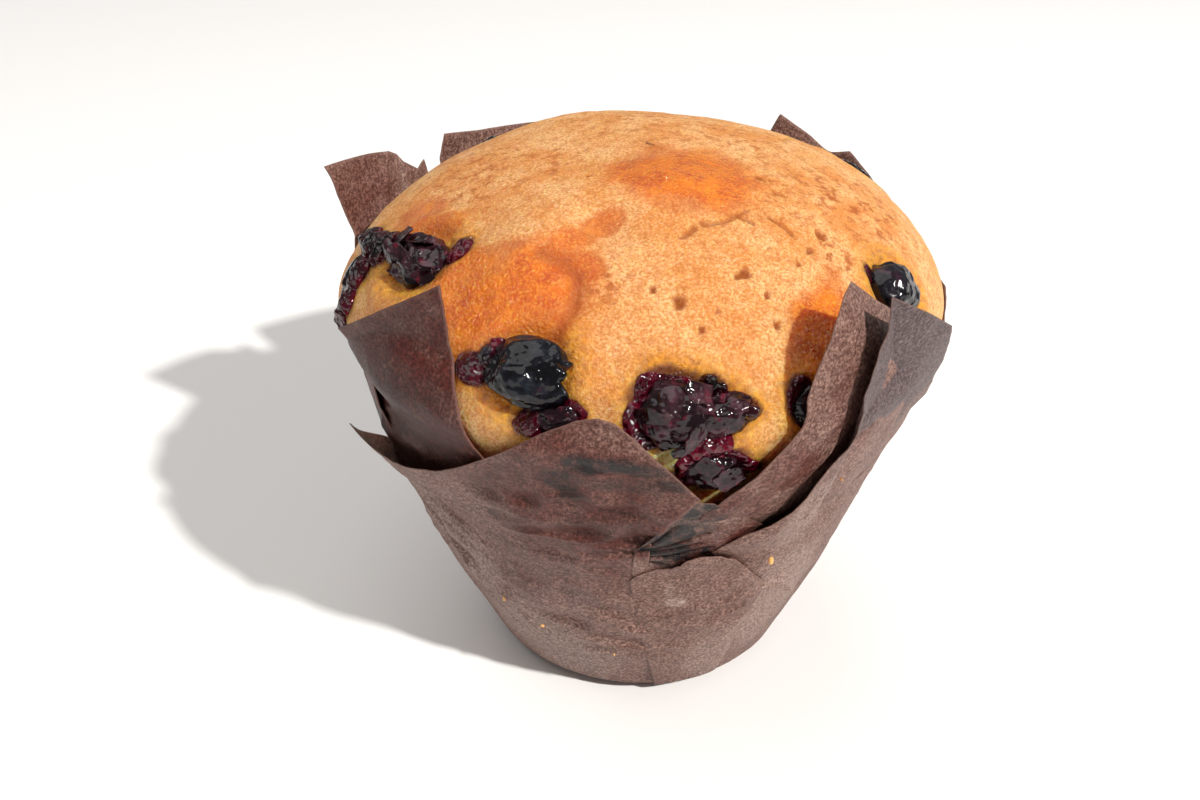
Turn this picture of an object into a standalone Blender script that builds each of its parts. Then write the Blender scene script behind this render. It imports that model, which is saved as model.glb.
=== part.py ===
"""A blueberry muffin in its brown tulip paper case.

Metres, +Z up. The origin is the middle of the flat base, on the table.
Azimuths are degrees anticlockwise from above: 0 right (+X), 90 back, 180 left,
270 front. The values and tables below are in millimetres.
"""
import math

import bpy
from mathutils import Matrix, Vector

MM = 0.001

# Paper case
BASE_RADIUS = 24.8        # where the wall would meet the table
WALL_FLARE = 0.381        # growth in radius for each millimetre of height
CORNER = 2.4              # rounding between the bottom and the wall
PAPER = 0.6               # pressed layers of greaseproof paper
RIM_HEIGHT = 46.0         # above this the petals leave the wall
PART_HEIGHT = 40.0        # where an outer layer starts to part from the wall
LAYER_GAP = 0.5           # between two layers that have parted
LEAN_POWER = 1.1          # how late a petal bends away from the wall's slope
ROOM = 1.0                # what a petal keeps clear of the bulging cake
EMBED = 0.3               # how deep an outer layer bites into the wall below that
CASE_LEAN = 0.8           # the case has been pushed this far over at its rim
CASE_LEAN_AZIMUTH = 190.0
CASE_NIP = 1.8            # and is this much tighter round its rim
NIP_FROM = 15.0           # the height where it starts to tighten

# Cake
GAP = 0.35                # between touching pieces
NECK_FLARE = 0.26         # the cake widens less than the wall above the rim
EQUATOR_HEIGHT = 59.0     # the widest ring of the cake
EQUATOR_RADIUS = 44.2
PRESSED = [               # folded paper presses the neck in: azimuth, width, depth
    (205.0, 14.0, 1.6),
    (329.0, 20.0, 1.5),
]
SPILL_FROM = 54.0         # the cake bulges out over the paper between these heights
SPILL_TO = 65.0
SPILL_RING = 56.5         # one more ring of points low on that bulge
EQUATOR_SHIFT = 0.7       # the widest ring lies this far to the left
DOME_TOP = 82.2
DOME_LEAN = 1.8           # the top lies this far towards the front right
DOME_LEAN_AZIMUTH = 315.0
DOME_POWER = 2.0          # 2 is an ellipse; more is fuller at the shoulder

# Gentle swellings of the crust: azimuth, radius, height, width
SWELLINGS = [
    (289.0, 12.0, 0.9, 7.0),
    (237.0, 27.0, 1.5, 7.0),
    (253.0, 22.0, -1.3, 3.5),
    (320.0, 24.0, 0.7, 9.0),
    (120.0, 22.0, 0.8, 9.0),
    (200.0, 10.0, -0.5, 8.0),
]

# Berries: azimuth and height on the dome, length, width, depth, turn, lift
BERRIES = {
    "blueberry_front_left": (245.5, 68.0, 11.0, 8.6, 7.0, 12.0, -0.6),
    "blueberry_front_small": (254.6, 64.6, 6.2, 4.2, 4.4, 5.0, -1.3),
    "blueberry_centre": (273.0, 66.0, 8.8, 9.0, 6.6, 30.0, -1.0),
    "blueberry_centre_side": (284.0, 65.2, 5.8, 5.0, 4.8, 10.0, -0.8),
    "blueberry_front_low": (279.6, 57.8, 7.6, 5.4, 5.0, 10.0, -1.2),
    "blueberry_left": (207.5, 72.6, 11.6, 8.0, 6.4, 20.0, -0.9),
    "blueberry_left_edge": (192.5, 66.0, 6.0, 9.6, 5.4, 0.0, -2.2),
    "blueberry_right": (326.5, 69.6, 7.2, 8.4, 6.4, 0.0, -0.8),
    "blueberry_right_front": (296.0, 64.4, 5.0, 6.0, 4.4, 0.0, -1.4),
    "blueberry_back_left": (128.0, 69.0, 9.4, 7.8, 6.6, 15.0, -0.9),
    "blueberry_back": (78.0, 65.6, 8.8, 8.2, 6.6, 70.0, -1.0),
    "blueberry_back_right": (25.0, 71.6, 9.2, 7.6, 6.2, 40.0, -0.9),
}

# Edge of the inner sheet, all the way round, petal by petal. Each row is one
# line of paper from the bottom to the edge: azimuth on the wall, azimuth at
# the edge, height of the edge, and radius of the edge, or None where the edge
# stays on the wall's own slope.
LEFT_NOTCH = [(166, 166, 52, None), (182, 182, 44.5, None), (206, 206, 43, None)]
LEFT_PETAL = [
    (206.6, 205, 48.5, None), (207.2, 205, 55, 43), (207.8, 205.6, 60, 43.8),
    (208.4, 206.5, 64.5, 46), (220, 218, 70.6, 43), (239, 231.5, 77, 40.6),
    (240, 233.5, 70, 41.5), (241, 238, 63.8, 43.3), (242, 241.8, 56.2, 45.2),
    (243, 242.5, 50, None),
]
FRONT_LOW = [(244, 244, 46, None), (255, 255, 46, None), (268, 268, 45.6, None)]
INNER_STRIP = [
    (276.5, 276.5, 50, None), (282, 282, 55.8, 45), (286, 285, 56.4, 45.3),
    (291, 289, 60.4, 45), (296, 293, 64.4, 44.8), (299, 295, 69.2, 44.4),
    (302, 297.5, 75, 43.6), (305, 301, 80, 42.4), (312, 308.5, 75.6, 43.3), (314.6, 311.4, 73.8, 43.6), (317.3, 314.6, 71.9, 44),
    (320, 318, 70, 44.4), (326, 325, 63, 44.6), (330, 329.5, 57, 42.8),
    (334, 334, 50, None),
]
RIGHT_NOTCH = [(338, 338, 46, None)]
RIGHT_PETAL = [(345, 345, 56, 43.4), (358, 358, 60.5, 44.4), (372, 372, 60, 45.2)]
BACK_RIGHT_PETAL = [
    (384, 384, 55, None), (390, 390, 62, 47.6), (396, 396, 65.6, 48.2),
    (402, 402, 68.4, 48.6), (407, 407, 67, 48.6), (419, 419, 71.6, 49),
    (422, 422, 66, 48.4),
]
BACK_LOW = [(429, 429, 50, None), (432, 432, 46, None), (470, 470, 46, None), (496, 496, 47, None)]
BACK_LEFT_PETAL = [
    (498.5, 498.5, 67, 49), (501.5, 501.5, 66.4, 48), (505, 505, 68.6, 48),
    (506, 506, 70, 48), (509, 509, 71.5, 48.5), (514.5, 514.5, 72.3, 49),
    (520, 520, 73, 49.6), (523, 524.6, 73.3, 50.5), (524, 523, 61.5, 47.8),
]
INNER_SHEET = (LEFT_NOTCH + LEFT_PETAL + FRONT_LOW + INNER_STRIP + RIGHT_NOTCH
               + RIGHT_PETAL + BACK_RIGHT_PETAL + BACK_LOW + BACK_LEFT_PETAL)

# Outer layers, written the same way. They run from one cut edge to the other.
FRONT_PETAL = [
    (191, 190, 39, 41.2), (199, 198, 47.5, 45.8), (204, 206, 43.6, 44.2),
    (211, 213.5, 46.2, 44.4), (219.5, 221.5, 48.9, 44.8), (229.5, 230.8, 51.8, 44.8),
    (235.5, 237.8, 55, 45.1), (244, 245.6, 59.2, 45.2), (252.5, 254, 64, 45),
    (259.5, 261.3, 66.8, 44.6), (263.5, 266, 65, 44.8), (266.5, 270.6, 61, 45.1),
    (269.5, 277, 55.4, 45.3),
]
RIGHT_PANEL = [
    (275.5, 266, 35, None), (278.5, 272.5, 38, None), (281.5, 277.3, 41.8, None),
    (284.5, 281.5, 45.4, None), (289, 287.5, 49.4, 45), (293.5, 293, 52, 45.6),
    (299, 298.4, 57.6, 46), (302, 301.5, 61.4, 46.2), (303.5, 302, 65.6, 46),
    (305, 303.5, 72.6, 46), (308, 306.2, 78, 45.1), (316, 313.3, 74.4, 45),
    (327, 326, 68, 45), (330.5, 330, 62.5, 44), (334, 333.5, 54, 42.6),
    (336, 336, 38, None),
]
BACK_PETAL = [
    (72, 72, 39, None), (76, 76, 55, None), (84, 84, 62, None), (95, 95, 66, 50.2),
    (109, 109, 68.2, 50.6), (124, 124, 68.8, 49.6), (132, 132.5, 70, 49.2),
    (134, 134.3, 66, 49), (135, 135.3, 54, None),
]

COLUMN_STEP = 9.0         # widest facet of the paper, in degrees
LOWER_ROWS = 3            # rows of facets on the plain wall
UPPER_ROWS = 5            # rows of facets up to the edge
CAKE_COLUMNS = 42
CAKE_WALL_ROWS = 3
CAKE_DOME_ROWS = 10
BERRY_COLUMNS = 12
BERRY_ROWS = 6


def clear_scene():
    for leftover in list(bpy.data.objects):
        bpy.data.objects.remove(leftover, do_unlink=True)


def material(name, colour, roughness):
    finish = bpy.data.materials.new(name)
    finish.use_nodes = True
    shader = finish.node_tree.nodes["Principled BSDF"]
    shader.inputs["Base Color"].default_value = (*colour, 1.0)
    shader.inputs["Roughness"].default_value = roughness
    shader.inputs["Metallic"].default_value = 0.0
    return finish


def solid(name, points, faces, finish):
    """A mesh object from points in millimetres."""
    mesh = bpy.data.meshes.new(name)
    mesh.from_pydata([tuple(c * MM for c in point) for point in points], [], faces)
    mesh.materials.append(finish)
    mesh.shade_smooth()
    mesh.set_sharp_from_angle(angle=math.radians(40.0))
    made = bpy.data.objects.new(name, mesh)
    bpy.context.scene.collection.objects.link(made)
    return made


def polar(azimuth, radius, height):
    angle = math.radians(azimuth)
    return (radius * math.cos(angle), radius * math.sin(angle), height)


def ease(value, start, end):
    """0 before start, 1 after end, and a smooth rise between."""
    share = min(max((value - start) / (end - start), 0.0), 1.0)
    return share * share * (3.0 - 2.0 * share)


def towards(azimuth, direction):
    return math.cos(math.radians(azimuth - direction))


def wall_radius(azimuth, height):
    """Outside of the paper's wall, on its own slope, pushed a little to the left."""
    radius = BASE_RADIUS + WALL_FLARE * height
    radius -= CASE_NIP * ease(height, NIP_FROM, RIM_HEIGHT)
    share = min(height / RIM_HEIGHT, 1.0) ** 0.8
    return radius + CASE_LEAN * share * towards(azimuth, CASE_LEAN_AZIMUTH)


def dome_level(height):
    return min(max((height - EQUATOR_HEIGHT) / (DOME_TOP - EQUATOR_HEIGHT), 0.0), 1.0)


def dome_radius(height):
    """Radius of a ring of the dome about its own middle."""
    power = DOME_POWER
    return EQUATOR_RADIUS * (1.0 - dome_level(height) ** power) ** (1.0 / power)


def cake_radius(azimuth, height):
    """The plain cake from the case's axis: against the paper, then over the dome."""
    radius = dome_radius(height) + EQUATOR_SHIFT * towards(azimuth, 180.0)
    radius += DOME_LEAN * dome_level(height) * towards(azimuth, DOME_LEAN_AZIMUTH)
    spilled = ease(height, SPILL_FROM, SPILL_TO)
    inside = wall_radius(azimuth, min(height, RIM_HEIGHT)) - PAPER - GAP
    inside += NECK_FLARE * max(height - RIM_HEIGHT, 0.0)
    for direction, width, depth in PRESSED:
        aside = (azimuth - direction + 180.0) % 360.0 - 180.0
        pressed = depth * ease(height, PART_HEIGHT, RIM_HEIGHT)
        inside -= pressed * math.exp(-(aside / width) ** 2)
    return radius * spilled + min(inside, radius) * (1.0 - spilled)


def grid_faces(columns, rows, first=0, closed=False, flip=False):
    """Quads over a grid whose points run row by row within each column."""
    faces = []
    for column in range(columns if closed else columns - 1):
        here = first + column * rows
        there = first + (column + 1) % columns * rows
        for row in range(rows - 1):
            face = (here + row, there + row, there + row + 1, here + row + 1)
            faces.append(face[::-1] if flip else face)
    return faces


# ---- Paper case -----------------------------------------------------------

def fill_in(stations, layer_at, closed):
    """Add lines between the stations, so that no facet is wider than the step.

    The last value of a line becomes how far its edge leans out from the wall.
    """
    lines = []
    for foot, tip, top, reach in stations:
        slope = wall_radius(tip, top) + layer_at(top)[0]
        lines.append([foot, tip, top, 0.0 if reach is None else reach - slope])
    if closed:
        foot, tip, top, lean = lines[0]
        lines.append([foot + 360, tip + 360, top, lean])
    columns = []
    for before, after in zip(lines, lines[1:]):
        pieces = max(1, math.ceil((after[0] - before[0]) / COLUMN_STEP))
        for piece in range(pieces):
            share = piece / pieces
            columns.append([a + (b - a) * share for a, b in zip(before, after)])
    if not closed:
        columns.append(lines[-1])
    return columns


def row_heights(top):
    """Heights of a line's points: the plain wall, the parting, then the edge."""
    part = min(PART_HEIGHT, top - 4.0)
    rim = min(RIM_HEIGHT, top - 2.0)
    lower = [CORNER + (part - CORNER) * i / LOWER_ROWS for i in range(LOWER_ROWS)]
    shares = [(i / UPPER_ROWS) ** 1.3 for i in range(UPPER_ROWS + 1)]
    upper = [rim + (top - rim) * share for share in shares]
    return lower + [part] + upper


def sheet_line(column, slant_from, bend, room, layer_at):
    """The outer and inner points of one line of paper, bottom to edge.

    bend is how long before its edge the line may leave the wall, and room is
    what it keeps between itself and the bulge of the cake above the rim.
    layer_at gives the middle of the layer, measured out from the wall, and
    half its thickness, at a height.
    """
    foot, tip, top, lean = column
    leave = min(RIM_HEIGHT, top - bend)
    slant_start = min(slant_from, top - 10.0)
    outer, inner = [], []
    for height in row_heights(top):
        middle, half = layer_at(height)
        slant = max(height - slant_start, 0.0) / (top - slant_start)
        azimuth = foot + (tip - foot) * slant
        radius = wall_radius(azimuth, height) + middle
        if height > leave:
            radius += lean * ((height - leave) / (top - leave)) ** LEAN_POWER
        if height > RIM_HEIGHT:
            radius = max(radius, cake_radius(azimuth, height) + room + half)
        outer.append(polar(azimuth, radius + half, height))
        inner.append(polar(azimuth, radius - half, height))
    return outer, inner


def inner_layer(height):
    return -PAPER / 2, PAPER / 2


def outer_layer(thickness):
    """An outer layer bites into the wall low down and parts from it above."""
    def layer_at(height):
        parted = ease(height, PART_HEIGHT, RIM_HEIGHT)
        inside = -EMBED + (LAYER_GAP + EMBED) * parted
        outside = thickness + (LAYER_GAP + PAPER - thickness) * parted
        return (inside + outside) / 2, (outside - inside) / 2
    return layer_at


def cup(finish):
    """The inner sheet: a flat bottom, a rounded corner and the whole wall."""
    points, faces = [], []
    columns = fill_in(INNER_SHEET, inner_layer, closed=True)
    for column in columns:
        foot = column[0]
        outer, inner = sheet_line(column, PART_HEIGHT, 10.0, ROOM, inner_layer)
        bottom = [polar(foot, BASE_RADIUS - 1.6, 0.0), polar(foot, BASE_RADIUS - 0.2, 0.6)]
        floor = [polar(foot, BASE_RADIUS - 1.1, 1.2), polar(foot, BASE_RADIUS - 2.0, PAPER)]
        line = bottom + outer + inner[::-1] + floor
        points += line
    rows = len(line)
    faces += grid_faces(len(columns), rows, closed=True)
    under, over = len(points), len(points) + 1
    points += [(0.0, 0.0, 0.0), (0.0, 0.0, PAPER)]
    for column in range(len(columns)):
        here = column * rows
        there = (column + 1) % len(columns) * rows
        faces.append((under, there, here))
        faces.append((over, here + rows - 1, there + rows - 1))
    return solid("paper_case", points, faces, finish)


def outer_sheet(name, stations, slant_from, bend, room, thickness, finish):
    """A closed slab of paper over part of the wall, to be joined to the cup."""
    outer_points, inner_points = [], []
    layer_at = outer_layer(thickness)
    columns = fill_in(stations, layer_at, closed=False)
    for column in columns:
        line = sheet_line(column, slant_from, bend, room, layer_at)
        outer_points += line[0]
        inner_points += line[1]
    rows = len(line[0])
    count = len(outer_points)
    faces = grid_faces(len(columns), rows)
    faces += grid_faces(len(columns), rows, first=count, flip=True)
    rim = [i * rows for i in range(len(columns))]
    rim += [(len(columns) - 1) * rows + i for i in range(1, rows)]
    rim += [i * rows + rows - 1 for i in range(len(columns) - 2, -1, -1)]
    rim += list(range(rows - 2, 0, -1))
    for here, there in zip(rim, rim[1:] + rim[:1]):
        faces.append((there, here, here + count, there + count))
    slab = solid(name, outer_points + inner_points, faces, finish)
    slab.hide_render = True
    slab.display_type = "WIRE"
    return slab


def boolean(target, tool, operation):
    step = target.modifiers.new(tool.name, "BOOLEAN")
    step.operation = operation
    step.solver = "EXACT"
    step.object = tool


def paper_case(finish):
    case = cup(finish)
    behind = ROOM + PAPER + LAYER_GAP
    layers = [
        outer_sheet("front_petal", FRONT_PETAL, PART_HEIGHT, 24.0, ROOM, 0.6, finish),
        outer_sheet("right_panel", RIGHT_PANEL, 0.0, 10.0, behind, 0.9, finish),
        outer_sheet("back_petal", BACK_PETAL, PART_HEIGHT, 10.0, ROOM, 0.5, finish),
    ]
    for layer in layers:
        boolean(case, layer, "UNION")


# ---- Cake -----------------------------------------------------------------

def swelling(x, y):
    """Height that the crust gains or loses at a place on the dome."""
    rise = 0.0
    inland = 1.0 - ease(math.hypot(x, y), 34.0, 42.0)
    for azimuth, radius, height, width in SWELLINGS:
        centre_x, centre_y, _ = polar(azimuth, radius, 0.0)
        away = math.hypot(x - centre_x, y - centre_y) / width
        rise += height * math.exp(-away * away)
    return rise * inland


def cake_heights():
    start = PAPER + GAP + CORNER
    wall = [start + (SPILL_FROM - start) * i / CAKE_WALL_ROWS for i in range(CAKE_WALL_ROWS)]
    dome = DOME_TOP - EQUATOR_HEIGHT
    turns = [math.pi / 2 * i / CAKE_DOME_ROWS for i in range(CAKE_DOME_ROWS)]
    return wall + [SPILL_FROM, SPILL_RING] + [EQUATOR_HEIGHT + dome * math.sin(t) for t in turns]


def cake(finish):
    """The baked cake: it fills the case and domes over it, uneven on top."""
    bottom = PAPER + GAP
    points, faces = [], []
    for column in range(CAKE_COLUMNS):
        azimuth = 360.0 * column / CAKE_COLUMNS
        line = [polar(azimuth, BASE_RADIUS - 3.0, bottom)]
        for height in cake_heights():
            x, y, z = polar(azimuth, cake_radius(azimuth, height), height)
            line.append((x, y, z + swelling(x, y)))
        points += line
    rows = len(line)
    faces += grid_faces(CAKE_COLUMNS, rows, closed=True)
    under, top = len(points), len(points) + 1
    top_x, top_y, _ = polar(DOME_LEAN_AZIMUTH, DOME_LEAN, 0.0)
    points += [(0.0, 0.0, bottom), (top_x, top_y, DOME_TOP + swelling(top_x, top_y))]
    for column in range(CAKE_COLUMNS):
        here = column * rows
        there = (column + 1) % CAKE_COLUMNS * rows
        faces.append((under, there, here))
        faces.append((top, here + rows - 1, there + rows - 1))
    return solid("cake", points, faces, finish)


# ---- Berries --------------------------------------------------------------

def berry_frame(azimuth, height, turn, lift):
    """Where a berry sits: its long axis round the dome, its depth along the normal."""
    radius = cake_radius(azimuth, height)
    x, y, z = polar(azimuth, radius, height)
    steep = (DOME_TOP - EQUATOR_HEIGHT) ** 2 / EQUATOR_RADIUS ** 2
    normal = Vector((x * steep, y * steep, z - EQUATOR_HEIGHT)).normalized()
    across = Vector((0.0, 0.0, 1.0)).cross(normal).normalized()
    across = Matrix.Rotation(math.radians(turn), 3, normal) @ across
    along = normal.cross(across)
    middle = Vector((x, y, z + swelling(x, y))) + normal * lift
    return middle, Matrix((across, along, normal)).transposed()


def berry_points(length, width, depth, grow, crown):
    """A shrivelled berry round its own middle, with its crown at one end."""
    points = []
    for row in range(1, BERRY_ROWS):
        lift = math.pi * row / BERRY_ROWS
        for column in range(BERRY_COLUMNS):
            turn = 2.0 * math.pi * column / BERRY_COLUMNS
            fold = 1.0 - 0.05 * math.sin(lift) * math.cos(3.0 * turn + 2.0 * lift)
            points.append((
                (length / 2 + grow) * math.cos(lift),
                (width / 2 + grow) * math.sin(lift) * math.cos(turn) * fold,
                (depth / 2 + grow) * math.sin(lift) * math.sin(turn) * fold,
            ))
    points.append((length / 2 * (0.78 if crown else 1.0) + grow, 0.0, 0.0))
    points.append((-length / 2 - grow, 0.0, 0.0))
    return points


def berry_faces():
    faces = []
    for row in range(BERRY_ROWS - 2):
        for column in range(BERRY_COLUMNS):
            here = row * BERRY_COLUMNS + column
            there = row * BERRY_COLUMNS + (column + 1) % BERRY_COLUMNS
            faces.append((here, here + BERRY_COLUMNS, there + BERRY_COLUMNS, there))
    near = (BERRY_ROWS - 1) * BERRY_COLUMNS
    last = (BERRY_ROWS - 2) * BERRY_COLUMNS
    for column in range(BERRY_COLUMNS):
        after = (column + 1) % BERRY_COLUMNS
        faces.append((near, column, after))
        faces.append((near + 1, last + after, last + column))
    return faces


def place(shape, azimuth, height, turn, lift):
    """Points of a shape, moved from its own middle to its place on the dome."""
    middle, axes = berry_frame(azimuth, height, turn, lift)
    return [tuple(middle + axes @ Vector(point)) for point in shape]


def berry(name, row, baked, finish):
    """One berry, and the hollow that it has baked into the cake."""
    azimuth, height, length, width, depth, turn, lift = row
    at = (azimuth, height, turn, lift)
    shape = berry_points(length, width, depth, 0.0, crown=True)
    solid(name, place(shape, *at), berry_faces(), finish)
    room = berry_points(length, width, depth, GAP, crown=False)
    hollow = solid(name + "_hollow", place(room, *at), berry_faces(), finish)
    hollow.hide_render = True
    hollow.display_type = "WIRE"
    boolean(baked, hollow, "DIFFERENCE")


clear_scene()
paper_case(material("brown_greaseproof", (0.115, 0.062, 0.045), 0.62))
crumb = cake(material("baked_crust", (0.80, 0.42, 0.15), 0.55))
berry_skin = material("baked_blueberry", (0.020, 0.014, 0.028), 0.30)
for berry_name, berry_row in BERRIES.items():
    berry(berry_name, berry_row, crumb, berry_skin)
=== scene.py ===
"""A blueberry muffin in its brown tulip paper case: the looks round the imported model.

Lengths are in millimetres and azimuths in degrees anticlockwise from above: 0 right,
90 back, 180 left, 270 front. Meshes are turned to metres when they are made.
"""
import math

import bpy
import numpy as np
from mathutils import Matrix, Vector


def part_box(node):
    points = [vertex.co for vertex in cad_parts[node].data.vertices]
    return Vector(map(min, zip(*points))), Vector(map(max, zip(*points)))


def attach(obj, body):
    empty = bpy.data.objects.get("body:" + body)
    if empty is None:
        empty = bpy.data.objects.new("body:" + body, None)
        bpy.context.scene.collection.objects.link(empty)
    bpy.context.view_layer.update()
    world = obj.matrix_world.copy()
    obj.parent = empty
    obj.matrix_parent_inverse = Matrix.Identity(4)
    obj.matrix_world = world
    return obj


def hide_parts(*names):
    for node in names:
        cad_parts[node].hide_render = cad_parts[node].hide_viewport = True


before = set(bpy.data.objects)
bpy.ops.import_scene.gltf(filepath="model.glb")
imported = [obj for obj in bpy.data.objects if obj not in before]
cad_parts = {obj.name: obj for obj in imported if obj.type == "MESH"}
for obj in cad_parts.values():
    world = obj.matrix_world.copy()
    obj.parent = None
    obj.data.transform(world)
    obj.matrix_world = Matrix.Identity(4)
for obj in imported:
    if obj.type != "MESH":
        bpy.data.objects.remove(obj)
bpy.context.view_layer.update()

MM = 0.001

# The case and the cake, the same sizes as the solids have
BASE_RADIUS = 24.8
WALL_FLARE = 0.381
CORNER = 2.4
RIM_HEIGHT = 46.0
PART_HEIGHT = 40.0
CASE_LEAN = 0.8
CASE_LEAN_AZIMUTH = 190.0
CASE_NIP = 1.8
NIP_FROM = 15.0
WALL_THICKNESS = 0.6
GAP = 0.35
NECK_FLARE = 0.26
EQUATOR_HEIGHT = 59.0
EQUATOR_RADIUS = 44.2
PRESSED = [(205.0, 14.0, 1.6), (329.0, 20.0, 1.5)]
SPILL_FROM = 54.0
SPILL_TO = 65.0
EQUATOR_SHIFT = 0.7
DOME_TOP = 82.2
DOME_LEAN = 1.8
DOME_LEAN_AZIMUTH = 315.0
DOME_POWER = 2.0
SWELLINGS = [
    (289.0, 12.0, 0.9, 7.0), (237.0, 27.0, 1.5, 7.0), (253.0, 22.0, -1.3, 3.5),
    (320.0, 24.0, 0.7, 9.0), (120.0, 22.0, 0.8, 9.0), (200.0, 10.0, -0.5, 8.0),
]

# ---- Numbers and noise ------------------------------------------------------


def ease(value, start, end):
    """0 before start, 1 after end, and a smooth rise between."""
    share = np.clip((value - start) / (end - start), 0.0, 1.0)
    return share * share * (3.0 - 2.0 * share)


def towards(azimuth, direction):
    return np.cos(np.radians(azimuth - direction))


def beside(azimuth, direction):
    """Degrees from a direction to an azimuth, the short way round."""
    return (azimuth - direction + 180.0) % 360.0 - 180.0


def turned(across, along, turn):
    """Two distances at a right angle, as seen from axes turned by some degrees."""
    angle = math.radians(turn)
    return (across * math.cos(angle) + along * math.sin(angle),
            along * math.cos(angle) - across * math.sin(angle))


def polar(azimuth, radius, height):
    """Points, one to a row, from azimuths, radii and heights."""
    angle = np.radians(azimuth)
    rows = np.broadcast_arrays(radius * np.cos(angle), radius * np.sin(angle), height)
    return np.stack(rows, axis=-1)


def scatter(cells, seed):
    """A steady random number from 0 to 1 for each cell of a grid."""
    x, y, z = (cells[..., i].astype(np.int64) for i in range(3))
    mixed = x * 374761393 + y * 668265263 + z * 1440670441 + seed * 974634777
    mixed = (mixed ^ (mixed >> 13)) * 1274126177
    mixed = mixed ^ (mixed >> 16)
    return (mixed & 0xFFFFFF) / float(0xFFFFFF)


def lumps(points, size, seed=0):
    """Smooth bumps about size across, from -1 to 1."""
    spot = np.asarray(points, dtype=float) / size
    cell = np.floor(spot)
    share = spot - cell
    share = share * share * (3.0 - 2.0 * share)
    total = 0.0
    for corner in np.ndindex(2, 2, 2):
        step = np.array(corner)
        weight = np.prod(np.where(step == 1, share, 1.0 - share), axis=-1)
        total = total + weight * scatter(cell + step, seed)
    return total * 2.0 - 1.0


def rough(points, size, layers, seed=0):
    """Bumps with finer bumps on them."""
    total, weight = 0.0, 0.0
    for layer in range(layers):
        total = total + lumps(points, size / 2 ** layer, seed + layer) / 2 ** layer
        weight += 1.0 / 2 ** layer
    return total / weight


def nearest_spot(points, size, seed=0):
    """Distance to the nearest of a loose grid of spots, and that spot's own number."""
    spot = np.asarray(points, dtype=float) / size
    cell = np.floor(spot)
    best = np.full(spot.shape[:-1], 9.0)
    number = np.zeros(spot.shape[:-1])
    for corner in np.ndindex(3, 3, 3):
        there = cell + np.array(corner) - 1.0
        place = np.stack([scatter(there, seed + i) for i in range(3)], axis=-1)
        away = np.linalg.norm(there + place - spot, axis=-1)
        closer = away < best
        best = np.where(closer, away, best)
        number = np.where(closer, scatter(there, seed + 7), number)
    return best * size, number


def along_line(points, line):
    """Distance from points to a broken line, both in two or three dimensions."""
    best = np.full(points.shape[:-1], 1e9)
    line = np.array(line, dtype=float)
    for start, end in zip(line, line[1:]):
        run = end - start
        share = np.clip(((points - start) @ run) / (run @ run), 0.0, 1.0)
        away = np.linalg.norm(points - start - share[..., None] * run, axis=-1)
        best = np.minimum(best, away)
    return best


# ---- Meshes -----------------------------------------------------------------


def grid_faces(columns, rows, first=0, closed=False, flip=False):
    """Quads over a grid whose points run row by row within each column."""
    across = np.arange(columns if closed else columns - 1)[:, None]
    up = np.arange(rows - 1)[None, :]
    here = first + across * rows + up
    there = first + (across + 1) % columns * rows + up
    quads = np.stack([here, there, there + 1, here + 1], axis=-1).reshape(-1, 4)
    return quads[:, ::-1] if flip else quads


def capped(columns, rows, flip=False):
    """Faces over a closed grid whose first and last rings are each drawn to a point.
    Those two points follow the grid's."""
    faces = grid_faces(columns, rows, closed=True, flip=flip).tolist()
    first, last = columns * rows, columns * rows + 1
    for column in range(columns):
        here, there = column * rows, (column + 1) % columns * rows
        if flip:
            here, there = there, here
        faces.append((first, there, here))
        faces.append((last, here + rows - 1, there + rows - 1))
    return faces


def join(parts):
    """Several closed forms, each of points, faces and masks, as one."""
    points, faces, masks = [], [], {}
    for some_points, some_faces, some_masks in parts:
        first = sum(len(p) for p in points)
        points.append(some_points)
        faces += [[first + corner for corner in face] for face in some_faces]
        for name, values in some_masks.items():
            masks.setdefault(name, []).append(values)
    return (np.concatenate(points), faces,
            {name: np.concatenate(values) for name, values in masks.items()})


def piece(name, points, faces, finish, node=None, masks=None):
    """A mesh piece from points in millimetres. It may stand for a CAD node."""
    mesh = bpy.data.meshes.new(name)
    faces = [list(map(int, face)) for face in faces]
    mesh.from_pydata((np.asarray(points) * MM).tolist(), [], faces)
    mesh.materials.append(finish)
    mesh.shade_smooth()
    for mask, values in (masks or {}).items():
        layer = mesh.attributes.new(mask, "FLOAT", "POINT")
        layer.data.foreach_set("value", np.ascontiguousarray(values, dtype=np.float32))
    made = bpy.data.objects.new(name, mesh)
    bpy.context.scene.collection.objects.link(made)
    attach(made, "root")
    if node:
        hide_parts(node)
    return made


# ---- Colours and materials ----------------------------------------------------


def tint(code):
    """Linear colour from an sRGB hex code."""
    parts = [int(code[i:i + 2], 16) / 255.0 for i in (1, 3, 5)]
    line = [p / 12.92 if p <= 0.04045 else ((p + 0.055) / 1.055) ** 2.4 for p in parts]
    return (*line, 1.0)


def feed(tree, node, inputs):
    """Set a node's inputs. Each is a value, or another node's output to link from."""
    for name, value in inputs.items():
        socket = node.inputs[name]
        if isinstance(value, bpy.types.NodeSocket):
            tree.links.new(value, socket)
        else:
            socket.default_value = value


def add(tree, kind, settings, inputs):
    """Add a node with its settings and inputs."""
    made = tree.nodes.new(kind)
    for name, value in settings.items():
        setattr(made, name, value)
    feed(tree, made, inputs)
    return made


def new_material(name):
    made = bpy.data.materials.new(name)
    made.use_nodes = True
    return made, made.node_tree, made.node_tree.nodes["Principled BSDF"]


def in_millimetres(tree):
    """Places on the object in millimetres."""
    place = add(tree, "ShaderNodeTexCoord", {}, {}).outputs["Object"]
    return add(tree, "ShaderNodeMapping", {},
               {"Vector": place, "Scale": (1.0 / MM,) * 3}).outputs["Vector"]


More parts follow.
